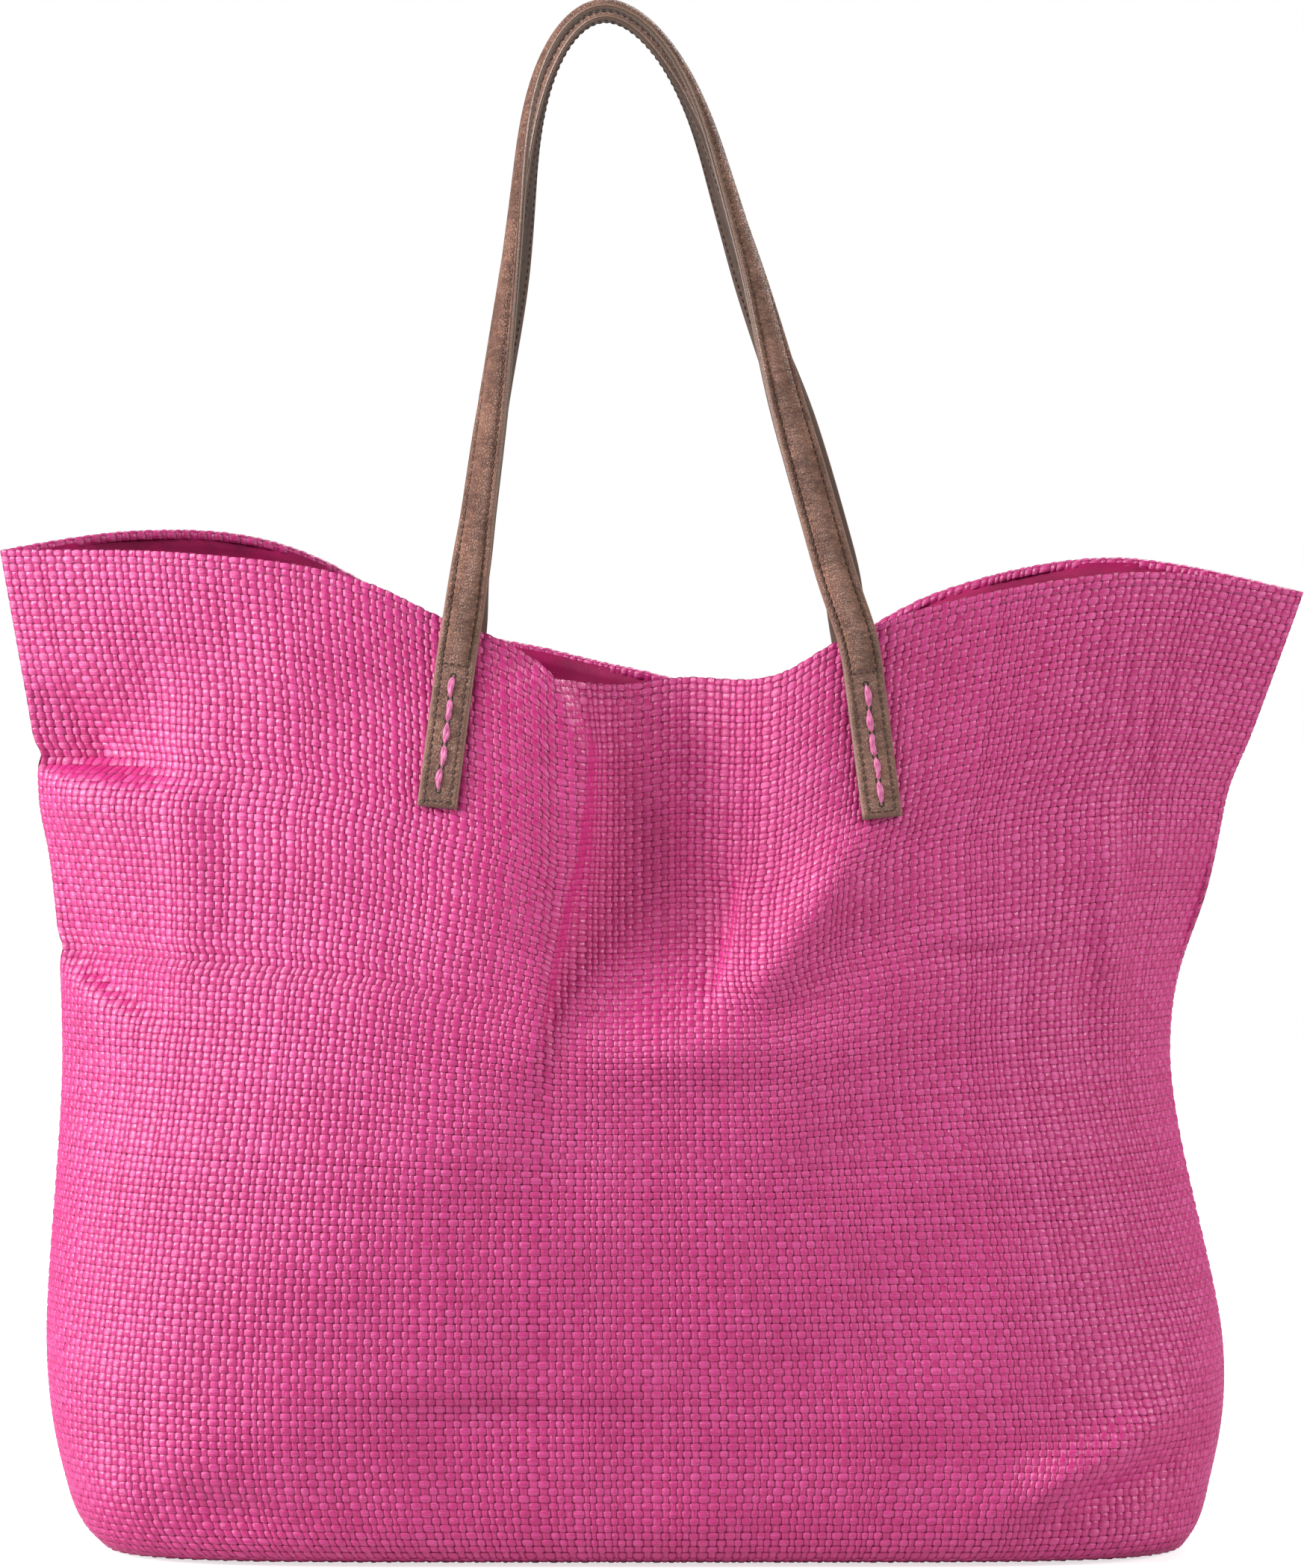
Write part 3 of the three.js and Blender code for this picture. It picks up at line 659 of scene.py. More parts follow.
def strap_path(face):
    """Evenly spaced stations along a strap, with their frames, and where its padding starts and ends."""
    left = [tab_frame(face, LEFT, d) for d in np.linspace(tab_end[LEFT], 3, 24)]
    right = [tab_frame(face, RIGHT, d) for d in np.linspace(3, tab_end[RIGHT], 24)]
    even = np.linspace(-1, 1, 171)[1:-1]
    along = 0.5 * even + 0.5 * np.sin(even * math.pi / 2)
    place = loop_point(face, along)
    after, before = (loop_point(face, np.clip(along + step, -1, 1)) for step in (1e-3, -1e-3))
    ahead = unit(after - before)
    rise = 1 - along**2
    turn = np.where(along < 0, turning[LEFT](np.sqrt(rise)), turning[RIGHT](np.sqrt(rise))) * math.pi / 2
    radial = unit(np.stack([-ahead[:, 2], 0 * turn, ahead[:, 0]], -1))
    normal = np.array([0, face, 0]) * np.cos(turn)[:, None] + radial * np.sin(turn)[:, None]
    places = np.concatenate([[f[0] for f in left], place, [f[0] for f in right]])
    normal = np.concatenate([[f[2] for f in left], normal, [f[2] for f in right]])
    for _ in range(3):
        for where in (slice(19, 34), slice(-34, -19)):
            for line in (places, normal):
                around = line[where.start - 1:(where.stop + 1) or None]
                line[where] = (around[:-2] + 2 * around[1:-1] + around[2:]) / 4
    arc = np.concatenate([[0], np.cumsum(np.linalg.norm(np.diff(places, axis=0), axis=1))])
    even_arc = np.linspace(0, arc[-1], int(arc[-1] / 2.4))
    place = np.stack([np.interp(even_arc, arc, places[:, i]) for i in range(3)], -1)
    normal = np.stack([np.interp(even_arc, arc, normal[:, i]) for i in range(3)], -1)
    ahead = unit(np.gradient(place, axis=0))
    normal = unit(normal - ahead * (normal * ahead).sum(-1, keepdims=True))
    side = np.cross(ahead, normal)
    padded = (tab_end[LEFT] - padding_start[LEFT], arc[-1] - (tab_end[RIGHT] - padding_start[RIGHT]))
    return {"arc": even_arc, "place": place, "ahead": ahead, "normal": normal, "side": side, "padded": padded}

paths = {face: strap_path(face) for face in (FRONT, BACK)}
for face, path in paths.items():
    print("strap", face, "is", round(path["arc"][-1]), "mm, top at", round(path["place"][:, 2].max(), 1))

# %% Points on the strap
def station(path, key, arc):
    return np.stack([np.interp(arc, path["arc"], path[key][:, i]) for i in range(3)], -1)

def on_strap(path, arc, across, out):
    side, normal = station(path, "side", arc), station(path, "normal", arc)
    return (station(path, "place", arc) + side * np.asarray(across)[..., None]
            + normal * np.asarray(out)[..., None])

def fullness(path, arc):
    """1 where the strap is padded and 0 on the flat tabs."""
    first, last = path["padded"]
    return smoothstep(arc, first - 1.0, first + 3.5) * (1 - smoothstep(arc, last - 3.5, last + 1.0))

stitch_line = 0.66

def strap_top(path, arc, share):
    s = np.abs(share)
    pad = np.where(s < 0.6, np.maximum(1 - (s / 0.6) ** 2, 0) ** 0.55, 0)
    groove = 0.32 * np.exp(-(((s - stitch_line) / 0.045) ** 2))
    edge = 0.95 * smoothstep(s, 0.88, 1.0) ** 1.5
    return 1.35 + pad * (0.15 + 2.05 * fullness(path, arc)) - groove - edge

def strap_layer(path, shares, heights):
    """A closed skin along the strap: a ring of points at every station, capped at both ends."""
    stations, ring = shares.shape
    arc = np.repeat(path["arc"][:, None], ring, 1)
    points = on_strap(path, arc, shares * strap_half, heights)
    faces = grid_faces(stations, ring, wrap=True)
    caps = []
    for first in (0, (stations - 1) * ring):
        loop = [first + i for i in range(ring)]
        half = ring // 2
        for i in range(half - 1):
            cap = [loop[i], loop[i + 1], loop[ring - 2 - i], loop[ring - 1 - i]]
            caps.append(cap if first else cap[::-1])
    faces = np.concatenate([faces, np.array(caps)])
    around = np.concatenate([[0], np.cumsum(np.abs(np.diff(shares[0])) * strap_half)])
    uv = np.stack([arc, np.repeat(around[None], stations, 0)], -1).reshape(-1, 2)
    return points.reshape(-1, 3), faces, uv

top_shares = np.array([-1, -0.985, -0.95, -0.88, -0.76, -0.7, -0.66, -0.62, -0.58, -0.5, -0.36, -0.18, 0,
                       0.18, 0.36, 0.5, 0.58, 0.62, 0.66, 0.7, 0.76, 0.88, 0.95, 0.985, 1])
top_count = len(top_shares)
back_ring = np.array([-0.98, -1, -1, -0.97, 0, 0.97, 1, 1, 0.98, 0])
back_heights = np.array([-0.06, -0.3, -1.0, -1.3, -1.3, -1.3, -1.0, -0.3, -0.06, -0.06])
straps = {}
for face, side_name in both_faces:
    path = paths[face]
    stations = len(path["arc"])
    shares = np.repeat(np.concatenate([top_shares, top_shares[::-1]])[None], stations, 0)
    heights = strap_top(path, path["arc"][:, None], shares)
    heights[:, top_count:] = 0.02
    heights[:, [0, top_count - 1]] = 0.25
    arc, total = path["arc"], path["arc"][-1]
    end = smoothstep(arc, 0, 1.4) * (1 - smoothstep(arc, total - 1.4, total))
    heights[:, :top_count] = 0.3 + (heights[:, :top_count] - 0.3) * (0.45 + 0.55 * end[:, None])
    points, faces, uv = strap_layer(path, shares, heights)
    near_end = np.maximum(1 - arc / 1.8, 1 - (total - arc) / 1.8).clip(0, 1)
    rim = np.maximum(smoothstep(np.abs(shares), 0.86, 0.94), near_end[:, None])
    straps[side_name] = make_mesh(side_name + "_strap", points, faces, uv, {"rim": rim.ravel()})
    back_shares = np.repeat(back_ring[None], stations, 0)
    points, faces, uv = strap_layer(path, back_shares, np.repeat(back_heights[None], stations, 0))
    rim = smoothstep(np.abs(back_shares), 0.9, 0.96)
    backing = make_mesh(side_name + "_strap_backing", points, faces, uv, {"rim": rim.ravel()})
    straps[side_name + "_back"] = backing
    for key, ring in ((side_name, 2 * top_count), (side_name + "_back", len(back_ring))):
        bake_map(straps[key], in_square(np.stack([np.repeat(np.arange(stations), ring) / stations,
                                                  np.tile(np.arange(ring), stations) / ring], -1)))
print("straps", {k: len(v.data.polygons) for k, v in straps.items()})

# %% [markdown]
# ## Thread and straw lace
# A stitch is a short fat capsule of thread that dips into the leather at both ends. One capsule is made and
# placed many times along its row. The straw lace is thicker: two strands of raffia that turn round each
# other between the holes, full in the middle and thin where they go through.

# %% Stitches
def capsules(places, ahead, normal, length, width, height, tilt=0.0):
    """Many stitches as one set of points and faces."""
    rings, sides = 7, 6
    u = np.linspace(-1, 1, rings)
    size = np.sqrt(np.maximum(1 - u**4, 0.02))
    angle = np.arange(sides) * 2 * math.pi / sides
    side = np.cross(ahead, normal)
    ahead = unit(ahead + side * tilt)
    side = np.cross(ahead, normal)
    a = u[:, None] * length / 2 + 0 * angle
    s = size[:, None] * np.cos(angle) * width / 2
    n = size[:, None] * np.sin(angle) * height / 2 - 0.25 * height * (u[:, None] ** 2)
    points = (places[:, None, None] + ahead[:, None, None] * a[None, ..., None]
              + side[:, None, None] * s[None, ..., None] + normal[:, None, None] * n[None, ..., None])
    one = grid_faces(rings, sides, wrap=True)
    count = rings * sides
    which = np.arange(len(places))
    faces = (one[None] + (which * count)[:, None, None]).reshape(-1, 4)
    run = np.tile(np.repeat(u * length / 2, sides), len(places)) + np.repeat(which * 7.3, count)
    uv = np.stack([run, np.tile(np.tile(angle, rings), len(places))], -1)
    return points.reshape(-1, 3), faces, uv

def read_path(path, arc):
    directions = (unit(station(path, key, arc)) for key in ("ahead", "normal", "side"))
    return (station(path, "place", arc), *directions)

stitch_size = (0.95, 0.85)

def thread_of(path):
    """Two rows of stitches along the strap, seen on both sides, and a short row across at four places."""
    parts = []
    total = path["arc"][-1]
    arcs = np.arange(2.6, total - 2.4, 3.25)
    place, ahead, normal, side = read_path(path, arcs)
    for share in (-stitch_line, stitch_line):
        above = strap_top(path, arcs, np.full(len(arcs), share)) + 0.22
        for out, way in ((above, 1), (np.full(len(arcs), -1.38), -1)):
            spots = place + side * (share * strap_half) + normal * out[:, None]
            parts.append(capsules(spots, ahead, normal * way, 2.5, *stitch_size, 0.10 * way))
    for arc in (2.6, total - 2.6, *path["padded"]):
        across = np.linspace(-stitch_line, stitch_line, 5)
        across = (across[1:] + across[:-1]) / 2 * strap_half
        place, ahead, normal, side = (np.repeat(v[None], 4, 0) for v in read_path(path, arc))
        out = strap_top(path, np.full(4, arc), across / strap_half) + 0.12
        spots = place + side * across[:, None] + normal * out[:, None]
        parts.append(capsules(spots, side, normal, 2.3, *stitch_size))
    points, faces = joined([part[:2] for part in parts])
    return points, faces, np.concatenate([part[2] for part in parts])

threads = {name: make_mesh(name + "_thread", *thread_of(paths[face])) for face, name in both_faces}
print("thread", len(threads["front"].data.polygons), "faces each")

# %% Straw lace and the painted shade of its holes
first_hole, last_hole = {LEFT: 9.5, RIGHT: 13.0}, {LEFT: 58.5, RIGHT: 64.5}

def tube(line, radii, flat, normal, sides=8):
    ahead = unit(np.gradient(line, axis=0))
    side = unit(np.cross(ahead, normal))
    up = np.cross(side, ahead)
    angle = np.arange(sides) * 2 * math.pi / sides
    points = (line[:, None] + side[:, None] * (np.cos(angle)[None, :] * radii[:, None])[..., None]
              + up[:, None] * (np.sin(angle)[None, :] * radii[:, None] * flat)[..., None])
    return points.reshape(-1, 3), grid_faces(len(line), sides, wrap=True)

def lace(face, side, seed):
    path, dice = paths[face], np.random.default_rng(seed)
    total = path["arc"][-1]
    downs = np.linspace(first_hole[side], last_hole[side], 6)
    arcs = tab_end[LEFT] - downs if side == LEFT else total - tab_end[RIGHT] + downs
    parts, uvs, holes = [], [], []
    for k in range(5):
        t = np.linspace(0, 1, 13)
        body = np.sin(t * math.pi) ** 0.6
        arc = arcs[k] + (arcs[k + 1] - arcs[k]) * (0.03 + 0.94 * t)
        drift, phase = dice.uniform(-0.5, 0.5), dice.uniform(0, 6.3)
        turns = dice.uniform(2.4, 4.2)
        for strand in (0, 1):
            a = phase + turns * t + strand * math.pi
            across = drift * np.sin(t * math.pi) + 0.62 * body * np.cos(a)
            out = 1.25 + 0.75 * body + 0.34 * body * np.sin(a)
            line = on_strap(path, arc, across, out)
            radii = (0.30 + 0.62 * body) * dice.uniform(0.85, 1.1)
            parts.append(tube(line, radii, 0.62, read_path(path, arc)[2]))
            uvs.append(np.stack([np.repeat(arc, 8), np.tile(np.arange(8.0), 13)], -1))
    # At each hole a flat dark ring lies on the leather: painted shade of the hole.
    for arc in arcs:
        ring = np.arange(16) * math.pi / 8
        radius = np.array([0.05, 0.75, 1.15, 1.5])
        height = np.array([1.47, 1.50, 1.58, 1.44])
        up, across = ((radius[:, None] * wave(ring)).ravel() for wave in (np.sin, np.cos))
        points = on_strap(path, arc + up, across, np.repeat(height, 16))
        holes.append((points, grid_faces(4, 16, wrap=True)))
    points, faces = joined(parts)
    return (points, faces, np.concatenate(uvs)), joined(holes)

laces, hole_shade_pieces = {}, {}
for face, side_name in both_faces:
    for side, end_name in both_ends:
        name = f"{side_name}_{end_name}"
        strand, hole = lace(face, side, 40 + face + 5 * side)
        laces[name] = make_mesh(name + "_lace", *strand)
        hole_shade_pieces[name] = make_mesh(name + "_lace_hole_shade", *hole, hole[0][:, [0, 2]])
print("laces", len(laces), "with 5 stitches each")

# %% Topstitch along the rim
def topstitch(face, row, out):
    at = np.arange(1.2, columns - 1.2, 1.62)
    rows = np.full(at.shape, row)
    outs = np.full(at.shape, out)
    place, after, before = (on_cloth(face, rows, at + step, outs) for step in (0, 0.4, -0.4))
    return capsules(place, unit(after - before), sample(normals[face], rows, at), 4.6, 0.55, 0.5, 0.05)

rim_threads = {}
for face, side_name in both_faces:
    rim_threads[side_name] = make_mesh(side_name + "_rim_thread", *topstitch(face, rim_row - 1.75, 0.55))
print("rim stitches", len(rim_threads["front"].data.polygons) // 36)

# %% [markdown]
# ## Materials
# A few effects are shared, so each is a node group: straw fibres with painted shade, pebbled leather with
# painted shade in its pits, a thread's twist with painted light and shade. Groups give out only colours,
# masks and heights. Each material places the group with its own values and adds its own shader.

# %% Node helpers
def node(tree, kind, inputs=None, **settings):
    made = tree.nodes.new(kind)
    for key, value in settings.items():
        setattr(made, key, value)
    for key, value in (inputs or {}).items():
        if isinstance(value, bpy.types.NodeSocket):
            tree.links.new(value, made.inputs[key])
        else:
            made.inputs[key].default_value = value
    return made

def calc(tree, operation, *values):
    return node(tree, "ShaderNodeMath", dict(enumerate(values)), operation=operation).outputs[0]

def blend_colours(tree, share, a, b, how="MIX"):
    made = node(tree, "ShaderNodeMix", {0: share, 6: a, 7: b}, data_type="RGBA", blend_type=how)
    return made.outputs[2]

def noise(tree, place, scale, detail, roughness=0.5):
    inputs = {"Vector": place, "Scale": scale, "Detail": detail, "Roughness": roughness}
    return node(tree, "ShaderNodeTexNoise", inputs).outputs

def remap(tree, value, low, high, start=0.0, end=1.0, how="LINEAR"):
    inputs = {0: value, 1: low, 2: high, 3: start, 4: end}
    return node(tree, "ShaderNodeMapRange", inputs, interpolation_type=how).outputs[0]

def place_from(tree, x, y, z=0.0):
    return node(tree, "ShaderNodeCombineXYZ", {0: x, 1: y, 2: z}).outputs[0]

def cloth_place(tree):
    return node(tree, "ShaderNodeUVMap", uv_map="cloth").outputs[0]

def parts_of(tree, place):
    return node(tree, "ShaderNodeSeparateXYZ", {0: place}).outputs

def group(name, inputs, outputs):
    tree = bpy.data.node_groups.new(name, "ShaderNodeTree")
    for title, kind, start in inputs:
        socket = tree.interface.new_socket(name=title, in_out="INPUT", socket_type="NodeSocket" + kind)
        if start is not None:
            socket.default_value = start
    for title, kind in outputs:
        tree.interface.new_socket(name=title, in_out="OUTPUT", socket_type="NodeSocket" + kind)
    return tree, tree.nodes.new("NodeGroupInput").outputs, tree.nodes.new("NodeGroupOutput").inputs

def material(name, **fixed):
    made = bpy.data.materials.new(name)
    made.use_nodes = True
    tree = made.node_tree
    shader = tree.nodes["Principled BSDF"]
    for key, value in fixed.items():
        shader.inputs[key.replace("_", " ")].default_value = value
    return made, tree, shader

def use_group(tree, group_tree, **inputs):
    made = node(tree, "ShaderNodeGroup")
    made.node_tree = group_tree
    for key, value in inputs.items():
        key = key.replace("_", " ")
        if isinstance(value, bpy.types.NodeSocket):
            tree.links.new(value, made.inputs[key])
        else:
            made.inputs[key].default_value = value
    return made.outputs

def bump(tree, shader, height, strength, depth):
    made = node(tree, "ShaderNodeBump", {"Strength": strength, "Distance": depth, "Height": height})
    tree.links.new(made.outputs[0], shader.inputs["Normal"])

def paint(piece, *materials):
    piece.data.materials.clear()
    for one in materials:
        piece.data.materials.append(one)

print("node helpers ready")

# %% [markdown]
# ## Straw
# Paper straw is a flat twisted ribbon. It shows fine lines along its length and each strip took the dye a
# little differently. Where a strip dives under its neighbour and along its edges, painted shade turns it
# deeper pink.
# The group takes the place along and across a strip, so level and upright strips share it.

# %% Straw group
straw_fibres_and_shade_group, given, out = group(
    "straw fibres and shade",
    [("Along", "Float", 0), ("Across", "Float", 0), ("Strip", "Float", 0), ("Swing", "Float", 0),
     ("Deep_tone_and_shade", "Color", (0.30, 0.001, 0.070, 1)), ("Dye", "Color", (0.70, 0.016, 0.240, 1)),
     ("Pale", "Color", (0.92, 0.20, 0.54, 1)), ("Fibres", "Float", 9)],
    [("Color", "Color"), ("Roughness", "Float"), ("Height", "Float")])
t = straw_fibres_and_shade_group
place = place_from(t, calc(t, "MULTIPLY", given["Along"], 0.55),
                   calc(t, "MULTIPLY", given["Across"], given["Fibres"]), given["Strip"])
fibre = noise(t, place, 1.0, 3, 0.65)[0]
cell = place_from(t, calc(t, "FLOOR", given["Along"]), calc(t, "FLOOR", given["Across"]))
float_tone = node(t, "ShaderNodeTexWhiteNoise", {"Vector": cell}, noise_dimensions="2D").outputs[0]
patchy = noise(t, place_from(t, given["Along"], given["Across"]), 0.07, 2)[0]
tone = 0.0
for varied, by in ((fibre, 1.9), (float_tone, 0.26), (given["Strip"], 0.26), (patchy, 0.5)):
    tone = calc(t, "ADD", tone, calc(t, "MULTIPLY", calc(t, "SUBTRACT", varied, 0.5), by))
pale = remap(t, tone, -0.1, 0.75, 0, 0.55)
deep = remap(t, tone, -0.75, 0.15, 0.55, 0)
# Painted shade: where swing is low, where a strip dives under its neighbour and along its edges, the colour
# turns towards the deeper pink; tone adds the straw's own random deep-dyed places.
shade = remap(t, given["Swing"], -0.7, 0.6, 1, 0)
colour = blend_colours(t, pale, given["Dye"], given["Pale"])
colour = blend_colours(t, calc(t, "MAXIMUM", deep, shade), colour, given["Deep_tone_and_shade"])
t.links.new(colour, out["Color"])
streaked = remap(t, fibre, 0.2, 0.8, 0.24, 0.42)
t.links.new(calc(t, "ADD", streaked, calc(t, "MULTIPLY", shade, 0.6)), out["Roughness"])
t.links.new(fibre, out["Height"])

def straw_material(name, level, fibres, **colours):
    made, t, shader = material(name, Specular_IOR_Level=0.9, IOR=1.52)
    cloth = parts_of(t, cloth_place(t))
    strip = node(t, "ShaderNodeAttribute", attribute_name="strip").outputs["Fac"]
    swing = node(t, "ShaderNodeAttribute", attribute_name="swing").outputs["Fac"]
    along, across = (cloth[0], cloth[1]) if level else (cloth[1], cloth[0])
    straw = use_group(t, straw_fibres_and_shade_group, Along=along, Across=across, Strip=strip, Swing=swing,
                      Fibres=fibres, **colours)
    t.links.new(straw["Color"], shader.inputs["Base Color"])
    t.links.new(straw["Roughness"], shader.inputs["Roughness"])
    bump(t, shader, straw["Height"], 0.6, 0.0006)
    return made

weft_straw = straw_material("weft_straw", True, 8.0)
warp_straw = straw_material("warp_straw", False, 5.0,
                            Dye=(0.68, 0.015, 0.228, 1), Pale=(0.88, 0.17, 0.49, 1))
for name, piece in woven.items():
    paint(piece, weft_straw if name.endswith("weft") else warp_straw)
    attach(piece, "bag")
for side_name in ("front", "back"):
    for kind in ("weft", "warp"):
        for part in ("base", "lower", "upper"):
            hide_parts(side_name + "_panel")
        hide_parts(side_name + "_hem")
print("straw materials", weft_straw.name, warp_straw.name)

# %% [markdown]
# ## Cloth, leather and thread
# The lining is a plain fine cloth with a little gloss, and the crowns of its threads are painted lighter as
# a highlight. The leather is a coated one with small pebbles, painted shade in the pits between them and,
# where the strap bends, fine wrinkles across it; its cut edges are painted and smoother. Thread and raffia
# share a twist: bands of painted highlight run slanting round the strand, with painted shade between them.

# %% Cloth group and lining
cloth_group, given, out = group(
    "fine cloth",
    [("Place", "Vector", None), ("Threads", "Float", 3.0), ("Color", "Color", (0.2, 0.003, 0.06, 1))],
    [("Color", "Color"), ("Height", "Float")])
t = cloth_group
scaled = node(t, "ShaderNodeVectorMath", {0: given["Place"], 3: given["Threads"]}, operation="SCALE")
crosswise, lengthwise = (calc(t, "SINE", calc(t, "MULTIPLY", way, FULL_TURN))
                         for way in parts_of(t, scaled.outputs[0])[:2])
weave = calc(t, "MULTIPLY", crosswise, lengthwise)
slub = noise(t, given["Place"], 0.35, 4)[0]
mottle_and_highlight = blend_colours(t, calc(t, "MULTIPLY", slub, 0.7), given["Color"], (0.02, 0.0, 0.01, 1))
# Painted highlight: the raised crowns of the weave are lightened with a soft pink.
crown_highlight = calc(t, "MULTIPLY", calc(t, "ADD", weave, 1.0), 0.12)
mottle_and_highlight = blend_colours(t, crown_highlight, mottle_and_highlight, (1.0, 0.1, 0.4, 1), "SOFT_LIGHT")
t.links.new(mottle_and_highlight, out["Color"])
t.links.new(calc(t, "ADD", weave, calc(t, "MULTIPLY", slub, 2.0)), out["Height"])

def cloth_material(name, threads, colour, roughness):
    made, t, shader = material(name, Roughness=roughness, Specular_IOR_Level=0.3)
    cloth = use_group(t, cloth_group, Place=cloth_place(t), Threads=threads, Color=colour)
    t.links.new(cloth["Color"], shader.inputs["Base Color"])
    bump(t, shader, cloth["Height"], 0.35, 0.0003)
    return made

lining_cloth = cloth_material("lining_cloth", 3.0, (0.50, 0.001, 0.13, 1), 0.55)
patch_cloth = cloth_material("patch_cloth", 4.0, (0.45, 0.36, 0.26, 1), 0.85)
for piece in lining.values():
    paint(piece, lining_cloth)
for piece in patches.values():
    paint(piece, patch_cloth)
for piece in seams:
    paint(piece, weft_straw)
print("cloth materials ready")

# %% Leather group
leather_group, given, out = group(
    "pebbled leather",
    [("Place", "Vector", None), ("Pebbles", "Float", 0.9), ("Wrinkles", "Float", 0.5),
     ("Light", "Color", (0.36, 0.21, 0.15, 1)), ("Dark", "Color", (0.13, 0.065, 0.04, 1))],
    [("Color", "Color"), ("Roughness", "Float"), ("Height", "Float")])
t = leather_group
shaken = noise(t, given["Place"], 0.6, 3)[1]
bent = node(t, "ShaderNodeVectorMath", {0: given["Place"], 1: shaken}, operation="ADD").outputs[0]
cells = node(t, "ShaderNodeTexVoronoi", {"Vector": bent, "Scale": given["Pebbles"]},
             feature="DISTANCE_TO_EDGE").outputs[0]
pebble = remap(t, cells, 0.0, 0.22, how="SMOOTHSTEP")
across = node(t, "ShaderNodeVectorMath", {0: bent, 1: (0.5, 0.2, 1)}, operation="MULTIPLY").outputs[0]
crease = noise(t, across, 1.0, 4, 0.6)[0]
wrinkled = calc(t, "MULTIPLY", crease, calc(t, "MULTIPLY", given["Wrinkles"], 4.5))
height = calc(t, "ADD", calc(t, "MULTIPLY", pebble, 0.55), wrinkled)
cloudy = noise(t, given["Place"], 0.05, 3)[0]
# Painted shade: the pits between the pebbles are darkened towards the Dark colour.
pit_shade = calc(t, "MULTIPLY", calc(t, "SUBTRACT", 1.0, pebble), 0.45)
# Lighter where the wrinkle noise rises and in broad cloudy patches.
wrinkle_and_cloud_tone = remap(t, calc(t, "ADD", crease, cloudy), 0.85, 1.15)
colour = blend_colours(t, wrinkle_and_cloud_tone, given["Dark"], given["Light"])
colour = blend_colours(t, pit_shade, colour, given["Dark"], "MULTIPLY")
between = blend_colours(t, 0.5, given["Dark"], given["Light"])
t.links.new(blend_colours(t, 0.75, between, colour), out["Color"])
t.links.new(remap(t, pebble, 0.0, 1.0, 0.54, 0.36), out["Roughness"])
t.links.new(height, out["Height"])

def leather_material(name, light, dark, edge, pebbles, wrinkles, depth):
    made, t, shader = material(name, Specular_IOR_Level=0.6)
    uv = cloth_place(t)
    skin = use_group(t, leather_group, Place=uv, Pebbles=pebbles, Wrinkles=wrinkles, Light=light, Dark=dark)
    rim = node(t, "ShaderNodeAttribute", attribute_name="rim").outputs["Fac"]
    painted = noise(t, uv, 0.4, 4)[0]
    edge_colour = blend_colours(t, painted, edge, tuple(0.72 * c for c in edge[:3]) + (1,))
    t.links.new(blend_colours(t, rim, skin["Color"], edge_colour), shader.inputs["Base Color"])
    t.links.new(blend_colours(t, rim, skin["Roughness"], (0.42, 0.42, 0.42, 1)), shader.inputs["Roughness"])
    smooth = calc(t, "MULTIPLY", skin["Height"], calc(t, "SUBTRACT", 1.0, calc(t, "MULTIPLY", rim, 0.85)))
    bump(t, shader, smooth, 0.6, depth)
    return made

strap_leather = leather_material("strap_leather", (0.415, 0.215, 0.145, 1), (0.150, 0.066, 0.042, 1),
                                 (0.300, 0.180, 0.130, 1), 0.75, 0.7, 0.0018)
# The backing is a darker leather, and its colours are darkened further as painted shade for the strap's
# underside.
backing_leather_and_shade = leather_material("backing_leather_and_shade", (0.13, 0.078, 0.056, 1), (0.07, 0.038, 0.026, 1),
                                (0.17, 0.11, 0.08, 1), 1.6, 0.15, 0.0003)
print("leather materials ready")

# %% Thread and raffia
twist_light_and_shade_group, given, out = group(
    "twist", [("Along", "Float", 0), ("Around", "Float", 0), ("Pitch", "Float", 1.0),
              ("Light", "Color", (0.3, 0.16, 0.08, 1)), ("Dark", "Color", (0.1, 0.05, 0.03, 1))],
    [("Color", "Color"), ("Height", "Float")])
t = twist_light_and_shade_group
turn = calc(t, "ADD", calc(t, "MULTIPLY", given["Along"], given["Pitch"]), given["Around"])
# Painted light and shade: the strand is lighter on the ridges of its twist and darker between them, with
# random fuzz.
band = calc(t, "MULTIPLY", calc(t, "ADD", calc(t, "SINE", turn), 1.0), 0.5)
fuzz = noise(t, place_from(t, given["Along"], given["Around"]), 2.2, 3)[0]
share = calc(t, "MULTIPLY", calc(t, "ADD", band, fuzz), 0.5)
t.links.new(blend_colours(t, share, given["Dark"], given["Light"]), out["Color"])
t.links.new(share, out["Height"])

def twist_material(name, pitch, light, dark, roughness):
    made, t, shader = material(name, Roughness=roughness, Sheen_Weight=0.2)
    uv = parts_of(t, cloth_place(t))
    strand = use_group(t, twist_light_and_shade_group, Along=uv[0], Around=uv[1], Pitch=pitch, Light=light, Dark=dark)
    t.links.new(strand["Color"], shader.inputs["Base Color"])
    bump(t, shader, strand["Height"], 0.5, 0.0002)
    return made

brown_thread = twist_material("brown_thread", 5.0, (0.11, 0.05, 0.025, 1), (0.035, 0.016, 0.009, 1), 0.6)
pink_thread = twist_material("pink_thread", 5.0, (0.62, 0.07, 0.28, 1), (0.30, 0.015, 0.11, 1), 0.6)
raffia = twist_material("raffia", 1.4, (0.86, 0.26, 0.50, 1), (0.50, 0.05, 0.21, 1), 0.5)
# Painted shade: near-black rings where the lace holes are.
painted_hole_shade = twist_material("painted_hole_shade", 0.3, (0.03, 0.018, 0.013, 1), (0.01, 0.006, 0.004, 1), 0.9)
print("strand materials ready")

# %% [markdown]
# ## The lace, its hole shade and the rim thread ride on the bag's body
# The loops swing on their hinges, but the strap is one piece of leather. Strap, backing and thread keep the
# places they were built in and are not bent at the hinge line.

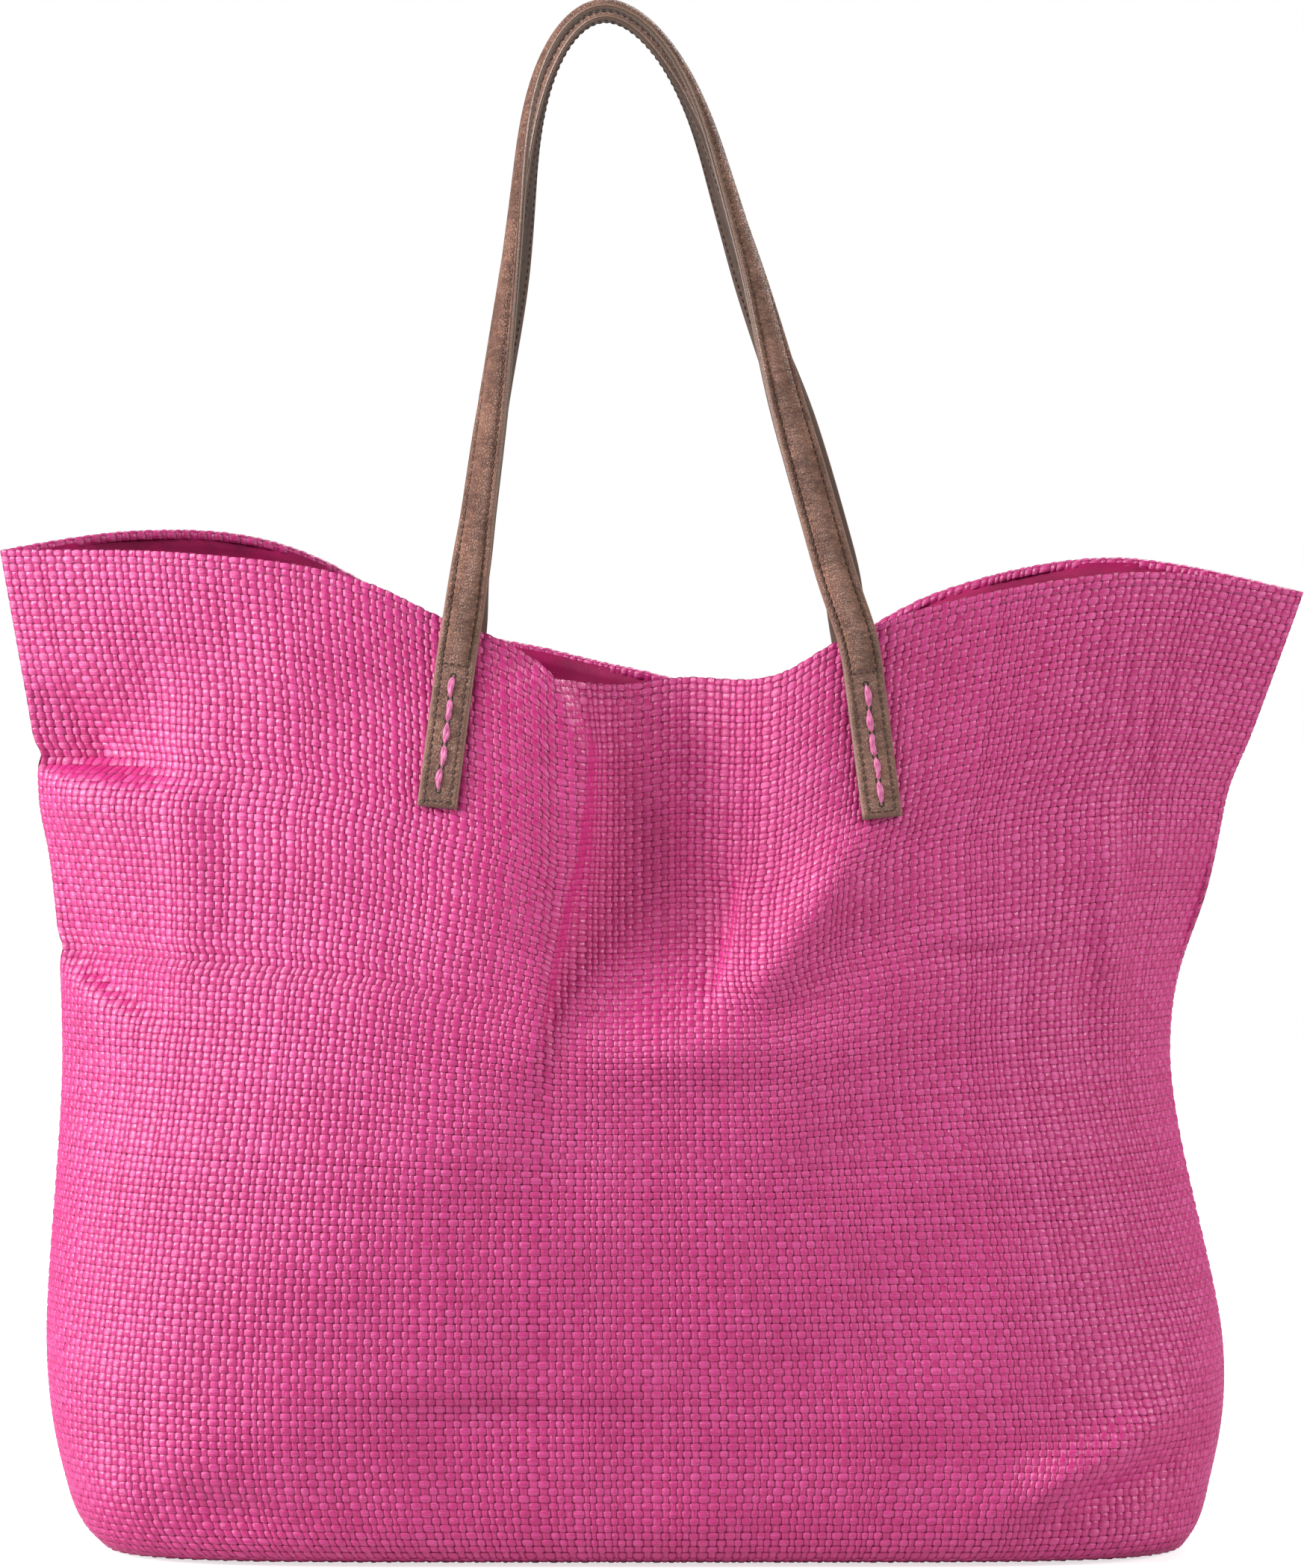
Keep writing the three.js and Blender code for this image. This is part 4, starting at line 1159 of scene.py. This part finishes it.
# %% Bodies and slots
def bend_at_hinge(piece):
    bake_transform(piece)

for face, side_name in both_faces:
    paint(straps[side_name], strap_leather)
    paint(straps[side_name + "_back"], backing_leather_and_shade)
    paint(threads[side_name], brown_thread)
    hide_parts(side_name + "_handle", side_name + "_handle_core",
                side_name + "_left_tab", side_name + "_right_tab")
    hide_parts(side_name + "_handle_backing")
    for piece in (straps[side_name], straps[side_name + "_back"], threads[side_name]):
        bend_at_hinge(piece)
    paint(rim_threads[side_name], pink_thread)
    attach(rim_threads[side_name], "bag")
    for end_name in ("left", "right"):
        name = f"{side_name}_{end_name}"
        paint(laces[name], raffia)
        paint(hole_shade_pieces[name], painted_hole_shade)
        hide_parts(name + "_lacing")
        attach(laces[name], "bag")
        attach(hole_shade_pieces[name], "bag")

# %% [markdown]
# ## Floor and light
# The floor is a pale disc in a white room. To the eye both are plain white, but they throw back less light
# than they seem to, or the underside of the bag would glow. One soft box stands high on the left, a lower
# one beside it puts a gloss on the straw, one stands high on the right, and one lights the back.

# %% Floor
floor_radius, corners = 2300, 96
turns = np.linspace(0, FULL_TURN, corners, endpoint=False)
floor_ring = [(floor_radius * math.cos(a), floor_radius * math.sin(a), 0) for a in turns]
slices = [(i, (i + 1) % corners, corners) for i in range(corners)]
floor = make_mesh("floor", floor_ring + [(0, 0, 0)], slices)
floor_paint, t, shader = material("floor_paint", Roughness=0.9)
speckle = noise(t, node(t, "ShaderNodeTexCoord").outputs["Object"], 3.0, 2)[0]
pale_grey = blend_colours(t, speckle, (0.55, 0.55, 0.55, 1), (0.58, 0.58, 0.58, 1))
t.links.new(pale_grey, shader.inputs["Base Color"])
shader.inputs["Emission Color"].default_value = (1, 1, 1, 1)
seen = node(t, "ShaderNodeLightPath").outputs["Is Camera Ray"]
t.links.new(calc(t, "MULTIPLY_ADD", seen, 0.62, 0.08), shader.inputs["Emission Strength"])
paint(floor, floor_paint)
floor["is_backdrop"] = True
print("floor", len(floor.data.polygons), "faces")

# %% Light
def soft_box(name, place, aim, size, power, colour=(1, 1, 1)):
    light = bpy.data.lights.new(name, "AREA")
    light.shape, light.size, light.energy, light.color = "DISK", size, power, colour
    lamp = bpy.data.objects.new(name, light)
    lamp.location = place
    lamp.rotation_euler = (Vector(aim) - Vector(place)).to_track_quat("-Z", "Y").to_euler()
    bpy.context.scene.collection.objects.link(lamp)

soft_box("key", (-1.8, -1.15, 2.3), (0, 0, 0.34), 0.9, 40, (1.0, 0.98, 1.0))
soft_box("side", (-2.7, -0.6, 1.2), (-0.15, 0, 0.3), 1.2, 92, (1.0, 0.97, 1.0))
soft_box("fill", (2.4, -0.95, 1.6), (0.1, 0, 0.3), 1.3, 48)
soft_box("back", (1.4, 2.8, 2.6), (0, 0, 0.3), 2.0, 70)

world = bpy.data.worlds.new("room")
world.use_nodes = True
room = world.node_tree
backdrop = room.nodes["Background"]
backdrop.inputs["Color"].default_value = (1, 1, 1, 1)
seen = node(room, "ShaderNodeLightPath").outputs["Is Camera Ray"]
room.links.new(calc(room, "MULTIPLY_ADD", seen, 0.88, 0.12), backdrop.inputs["Strength"])
bpy.context.scene.world = world
bpy.context.scene.view_settings.view_transform = "Standard"
print("lights", len(bpy.data.lights))

# %% [markdown]
# ## Finish
# The visible bag should fill the same box as its CAD model; its box is printed.

# %% Sizes and finish
low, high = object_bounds()
print("box", [round(v * 1000, 1) for v in low], [round(v * 1000, 1) for v in high])
